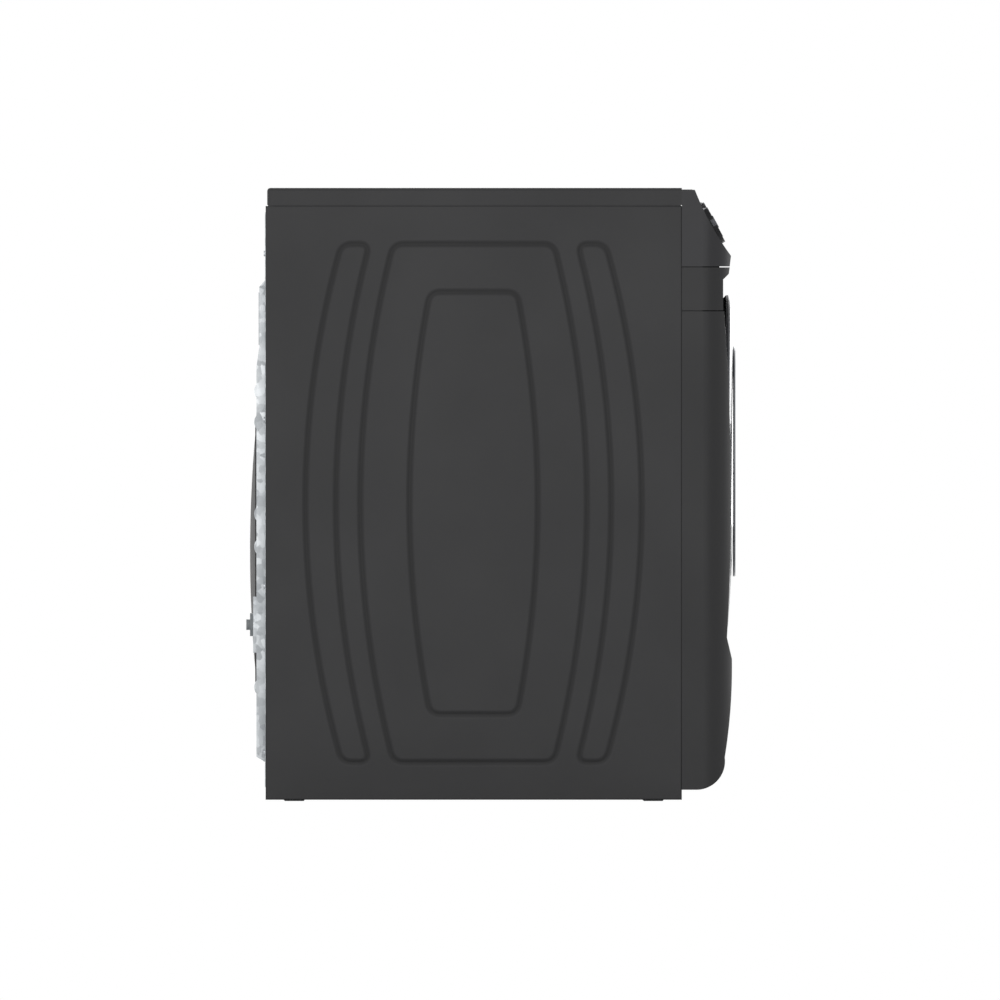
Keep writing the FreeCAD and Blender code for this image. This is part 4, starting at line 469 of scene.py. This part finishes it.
# %% One pressed side
def pressed_side(name, side, box, node):
    """A folded steel side with its four grooves; side is -1 or 1 along x."""
    low, high = box
    face = max(abs(low.x), abs(high.x)) / MM
    sheet = bmesh.new()
    # A per-vertex mask of groove depth; the enamel uses it to paint shade into the grooves.
    groove_shade_layer = sheet.verts.layers.float.new("press_depth")

    def ring(points, depth, dark=0.0):
        made = [sheet.verts.new((side * (face - depth) * MM, y * MM, z * MM)) for y, z in points]
        for vert in made:
            vert[groove_shade_layer] = dark
        return made

    def bridge(outer, inner):
        for k in range(len(outer)):
            sheet.faces.new((outer[k - 1], outer[k], inner[k], inner[k - 1]))

    def fill(*rings):
        edges = [sheet.edges.get((loop[k - 1], loop[k])) or sheet.edges.new((loop[k - 1], loop[k]))
                 for loop in rings for k in range(len(loop))]
        bmesh.ops.triangle_fill(sheet, use_beauty=True, edges=edges)

    y_low, z_low, y_high, z_high = [v / MM for v in (low.y, low.z, high.y, high.z)]

    def frame_ring(inset, depth):
        return ring([(y_low + inset, z_low + inset), (y_high - inset, z_low + inset),
                     (y_high - inset, z_high - inset), (y_low + inset, z_high - inset)], depth)

    rim = [frame_ring(FOLD + 1, 0)]
    for step in range(FOLD_STEPS + 1):
        turn = math.pi / 2 * step / FOLD_STEPS
        rim.append(frame_ring(FOLD - FOLD * math.sin(turn), FOLD - FOLD * math.cos(turn)))
    rim.append(frame_ring(0, (high.x - low.x) / MM - SHEET))
    for outer, inner in zip(rim[1:], rim):
        bridge(outer, inner)
    banks = {}
    for field, points in FIELDS.items():
        # The third value is the painted groove shade, darkest at the bottom of each groove.
        loops = [ring(grown(points, offset), sunk(offset), sunk(offset) / PRESS_DEEP)
                 for offset in PRESS_SWEEP]
        for outer, inner in zip(loops, loops[1:]):
            bridge(outer, inner)
        banks[field] = loops
    fill(rim[0], *(banks[field][0] for field in ("outer", "rear_slot", "front_slot")))
    fill(banks["outer"][-1], banks["inner"][0])
    for field in ("inner", "rear_slot", "front_slot"):
        fill(banks[field][-1])
    bmesh.ops.recalc_face_normals(sheet, faces=sheet.faces)
    flat = max(sheet.faces, key=lambda f: f.calc_area())
    if flat.normal.x * side < 0:
        bmesh.ops.reverse_faces(sheet, faces=sheet.faces)
    for f in sheet.faces:
        f.smooth = True
    return piece(name, sheet, ENAMEL, "cabinet", node, thickness=SHEET)


# %% Press both sides
for name, side, node in (("left_pressed_side", -1, "left_side_panel"),
                         ("right_pressed_side", 1, "right_side_panel")):
    corners = [Vector(corner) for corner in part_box(node)]
    print(name, len(pressed_side(name, side, corners, node).data.polygons), "faces")

# %% [markdown]
# ## The window bezel
#
# A turned bezel covers the edge of the glass, where it's glued to the door ring. It's a plastic ring with
# a satin metal coat. A profile spun round the door's axis makes it: a lathe does the same. Two small
# rounds catch the light, which a bare edge wouldn't.

# %% Spin a profile round the door's axis
BEZEL = brushed("satin_bezel_coat", "#6E7074", "#64666A", 0.26, DOOR_CENTRE, line_mm=0.9)
BEZEL_TURNS = 120


def turned(profile, centre):
    """A ring turned round the y axis from (radius, y) points in millimetres."""
    ring = bmesh.new()
    rows = []
    for k in range(BEZEL_TURNS):
        turn = 2 * math.pi * k / BEZEL_TURNS
        rows.append([ring.verts.new((centre.x + radius * MM * math.cos(turn), y * MM,
                                     centre.z + radius * MM * math.sin(turn))) for radius, y in profile])
    for here, there in zip(rows, rows[1:] + rows[:1]):
        for k in range(len(profile)):
            ring.faces.new((here[k - 1], here[k], there[k], there[k - 1])).smooth = True
    bmesh.ops.recalc_face_normals(ring, faces=ring.faces)
    return ring


window_low, window_high = (Vector(corner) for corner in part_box("door_window"))
window_edge = (window_high.x - window_low.x) / 2 / MM
window_face = window_low.y / MM
lip = [(window_edge + 4.5, window_face + 3.0), (window_edge + 4.5, window_face - 0.2),
       (window_edge + 4.1, window_face - 0.9), (window_edge + 3.2, window_face - 1.2),
       (window_edge - 1.2, window_face - 1.2), (window_edge - 2.4, window_face - 0.6),
       (window_edge - 3.4, window_face + 0.8), (window_edge - 3.4, window_face + 3.0)]
bezel = piece("window_bezel", turned(lip, (window_low + window_high) / 2), BEZEL, "door")
print("bezel radius", round(window_edge, 1), "mm;", len(bezel.data.polygons), "faces")

# %% [markdown]
# ## Marks on the console
#
# The console's marks are pad-printed: a film of pale ink a few hundredths of a millimetre thick. Each
# mark is drawn flat and then dropped onto the curved console, so it follows the crown exactly.

# %% Ink, and the console's slope
INK = finish("pale_pad_print_ink", "#B9BBBD", "#AFB1B4", 0.5, skin_mm=0.5, skin_deep=0.002, IOR=1.5)
SLOPE = math.radians(28.4)
OUT = Vector((0, -math.cos(SLOPE), math.sin(SLOPE)))
UP = Vector((0, math.sin(SLOPE), math.cos(SLOPE)))
ACROSS = Vector((1, 0, 0))
CAST_FROM = 0.03
CAST_REACH = 0.08
INK_LIFT = 0.08
BAR_LIFT = 0.1


def middle(node):
    """The centre of a node's box."""
    low, high = (Vector(corner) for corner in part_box(node))
    return (low + high) / 2


print("the console leans back", round(math.degrees(SLOPE), 1), "degrees")


# %% Drop a mark onto the console
def dropped(shape, target, centre, points, lift):
    """Add one flat mark; its points are (across, up) in millimetres from a centre, cast onto a target."""
    verts = []
    for across, up in points:
        start = centre + ACROSS * across * MM + UP * up * MM + OUT * CAST_FROM
        spot = NODES[target].ray_cast(start, -OUT, distance=CAST_REACH)[1]
        verts.append(shape.verts.new(spot + OUT * lift * MM))
    shape.faces.new(verts)


def bar(long, wide, turn, reach):
    """A short bar that stands at a reach and a turn from the centre, as (across, up) points."""
    way = Vector((math.sin(turn), math.cos(turn)))
    side = Vector((way.y, -way.x)) * wide / 2
    far = reach + long
    return [tuple(way * r + side * s) for r, s in ((reach, -1), (reach, 1), (far, 1), (far, -1))]


def dot(radius, across, up, sides=14):
    """A round dot, as (across, up) points."""
    turns = [2 * math.pi * k / sides for k in range(sides)]
    return [(across + radius * math.sin(t), up + radius * math.cos(t)) for t in turns]


print("a dot has", len(dot(1, 0, 0)), "points")

# %% Print the marks
TICKS = 12
TICK_REACH = 36
TICK_WIDE = 0.9
marks = bmesh.new()
for k in range(TICKS):
    turn = math.radians(360 / TICKS * k + 15)
    tick = bar(4 if k % 3 else 6, TICK_WIDE, turn, TICK_REACH)
    dropped(marks, "console_fascia", middle("cycle_dial"), tick, INK_LIFT)
for button in ("option_button_1", "option_button_2", "start_button"):
    for k in range(3):
        dropped(marks, "console_fascia", middle(button), dot(0.9, 5 * (k - 1), 11), INK_LIFT)
dropped(marks, "console_fascia", middle("power_button"), dot(1.0, 0, 15), INK_LIFT)
bmesh.ops.recalc_face_normals(marks, faces=marks.faces)
print("console marks:", len(piece("console_marks", marks, INK, "cabinet").data.polygons))

# %% [markdown]
# ## The display's lit bars
#
# Small light bars show the programme's progress. On the real machine they are white LEDs behind the
# dark lens, seen dimly through its smoke. Here the lens is opaque, so they stand just proud of it.

# %% Lit bars on the display
BARS = finish("lit_led_bar", "#9FB4C4", "#93A9BA", 0.4, skin_mm=2, skin_deep=0.001,
              **{"Emission Color": linear("#BFD6E6"), "Emission Strength": 0.5})
BAR_COUNT = 9
BAR_PITCH = 13
BAR_LONG = 9
BAR_HALF = 2
lights = bmesh.new()
for k in range(BAR_COUNT):
    left = BAR_PITCH * (k - (BAR_COUNT - 1) // 2)
    right = left + BAR_LONG
    dropped(lights, "display_lens", middle("display_lens"),
            ((left, -BAR_HALF), (right, -BAR_HALF), (right, BAR_HALF), (left, BAR_HALF)), BAR_LIFT)
bmesh.ops.recalc_face_normals(lights, faces=lights.faces)
print("display bars:", len(piece("display_bars", lights, BARS, "cabinet").data.polygons))

# %% [markdown]
# ## The studio
#
# The dryer stands on a pale floor under a white sky. A long camera far away gives a flat, true side
# view, so it is orthographic. Broad soft lights shape the faces: one square to the side, one from the
# front, one from behind and one on the far side.

# %% Floor, sky and lights
FLOOR_SPAN = 14.0
floor_mesh = bmesh.new()
bmesh.ops.create_grid(floor_mesh, x_segments=8, y_segments=8, size=FLOOR_SPAN / 2)
floor_data = bpy.data.meshes.new("studio_floor")
floor_mesh.to_mesh(floor_data)
floor_mesh.free()
floor = bpy.data.objects.new("studio_floor", floor_data)
scene.collection.objects.link(floor)
floor.location.z = -0.0005
floor.data.materials.append(finish("pale_studio_paint", "#F2F2F2", "#EFEFEF", 0.8, skin_mm=3, skin_deep=0.01))

sky = bpy.data.worlds.new("white_sky")
sky.use_nodes = True
sky.node_tree.nodes["Background"].inputs["Color"].default_value = (1.0, 1.0, 1.0, 1.0)
sky.node_tree.nodes["Background"].inputs["Strength"].default_value = 1.0
scene.world = sky


def softbox(name, power, size, spot, aim):
    """A square soft light that looks at a point."""
    lamp = bpy.data.lights.new(name, "AREA")
    lamp.energy = power
    lamp.size = size
    holder = bpy.data.objects.new(name, lamp)
    scene.collection.objects.link(holder)
    holder.location = spot
    holder.rotation_euler = (Vector(aim) - Vector(spot)).to_track_quat("-Z", "Y").to_euler()
    return holder


MIDDLE = (0.0, 0.0, 0.5)
softbox("side_light", 40, 3.0, (-4.5, 0.2, 1.2), MIDDLE)
softbox("front_light", 50, 2.4, (1.6, -4.2, 2.2), MIDDLE)
softbox("rear_light", 40, 2.4, (-1.6, 4.2, 2.0), MIDDLE)
softbox("far_light", 40, 2.4, (4.5, -0.5, 1.6), MIDDLE)
print("floor", FLOOR_SPAN, "m across; sky and four lights")

# %% [markdown]
# ## The camera
#
# An orthographic camera keeps every parallel edge parallel, however deep the object is. It looks
# straight along +X at the left side, so the front of the dryer is on the right.

# %% Camera
CAMERA_SPAN = 1.605
camera_data = bpy.data.cameras.new("side_camera")
camera_data.type = "ORTHO"
camera_data.ortho_scale = CAMERA_SPAN
camera = bpy.data.objects.new("side_camera", camera_data)
camera.location = (-6.0, -0.0152, 0.4831)
camera.rotation_euler = (math.radians(90), 0, math.radians(-90))
scene.collection.objects.link(camera)
scene.camera = camera
scene.view_settings.view_transform = "Standard"
print("camera looks along", [round(v, 3) for v in camera.matrix_basis.to_quaternion() @ Vector((0, 0, -1))])
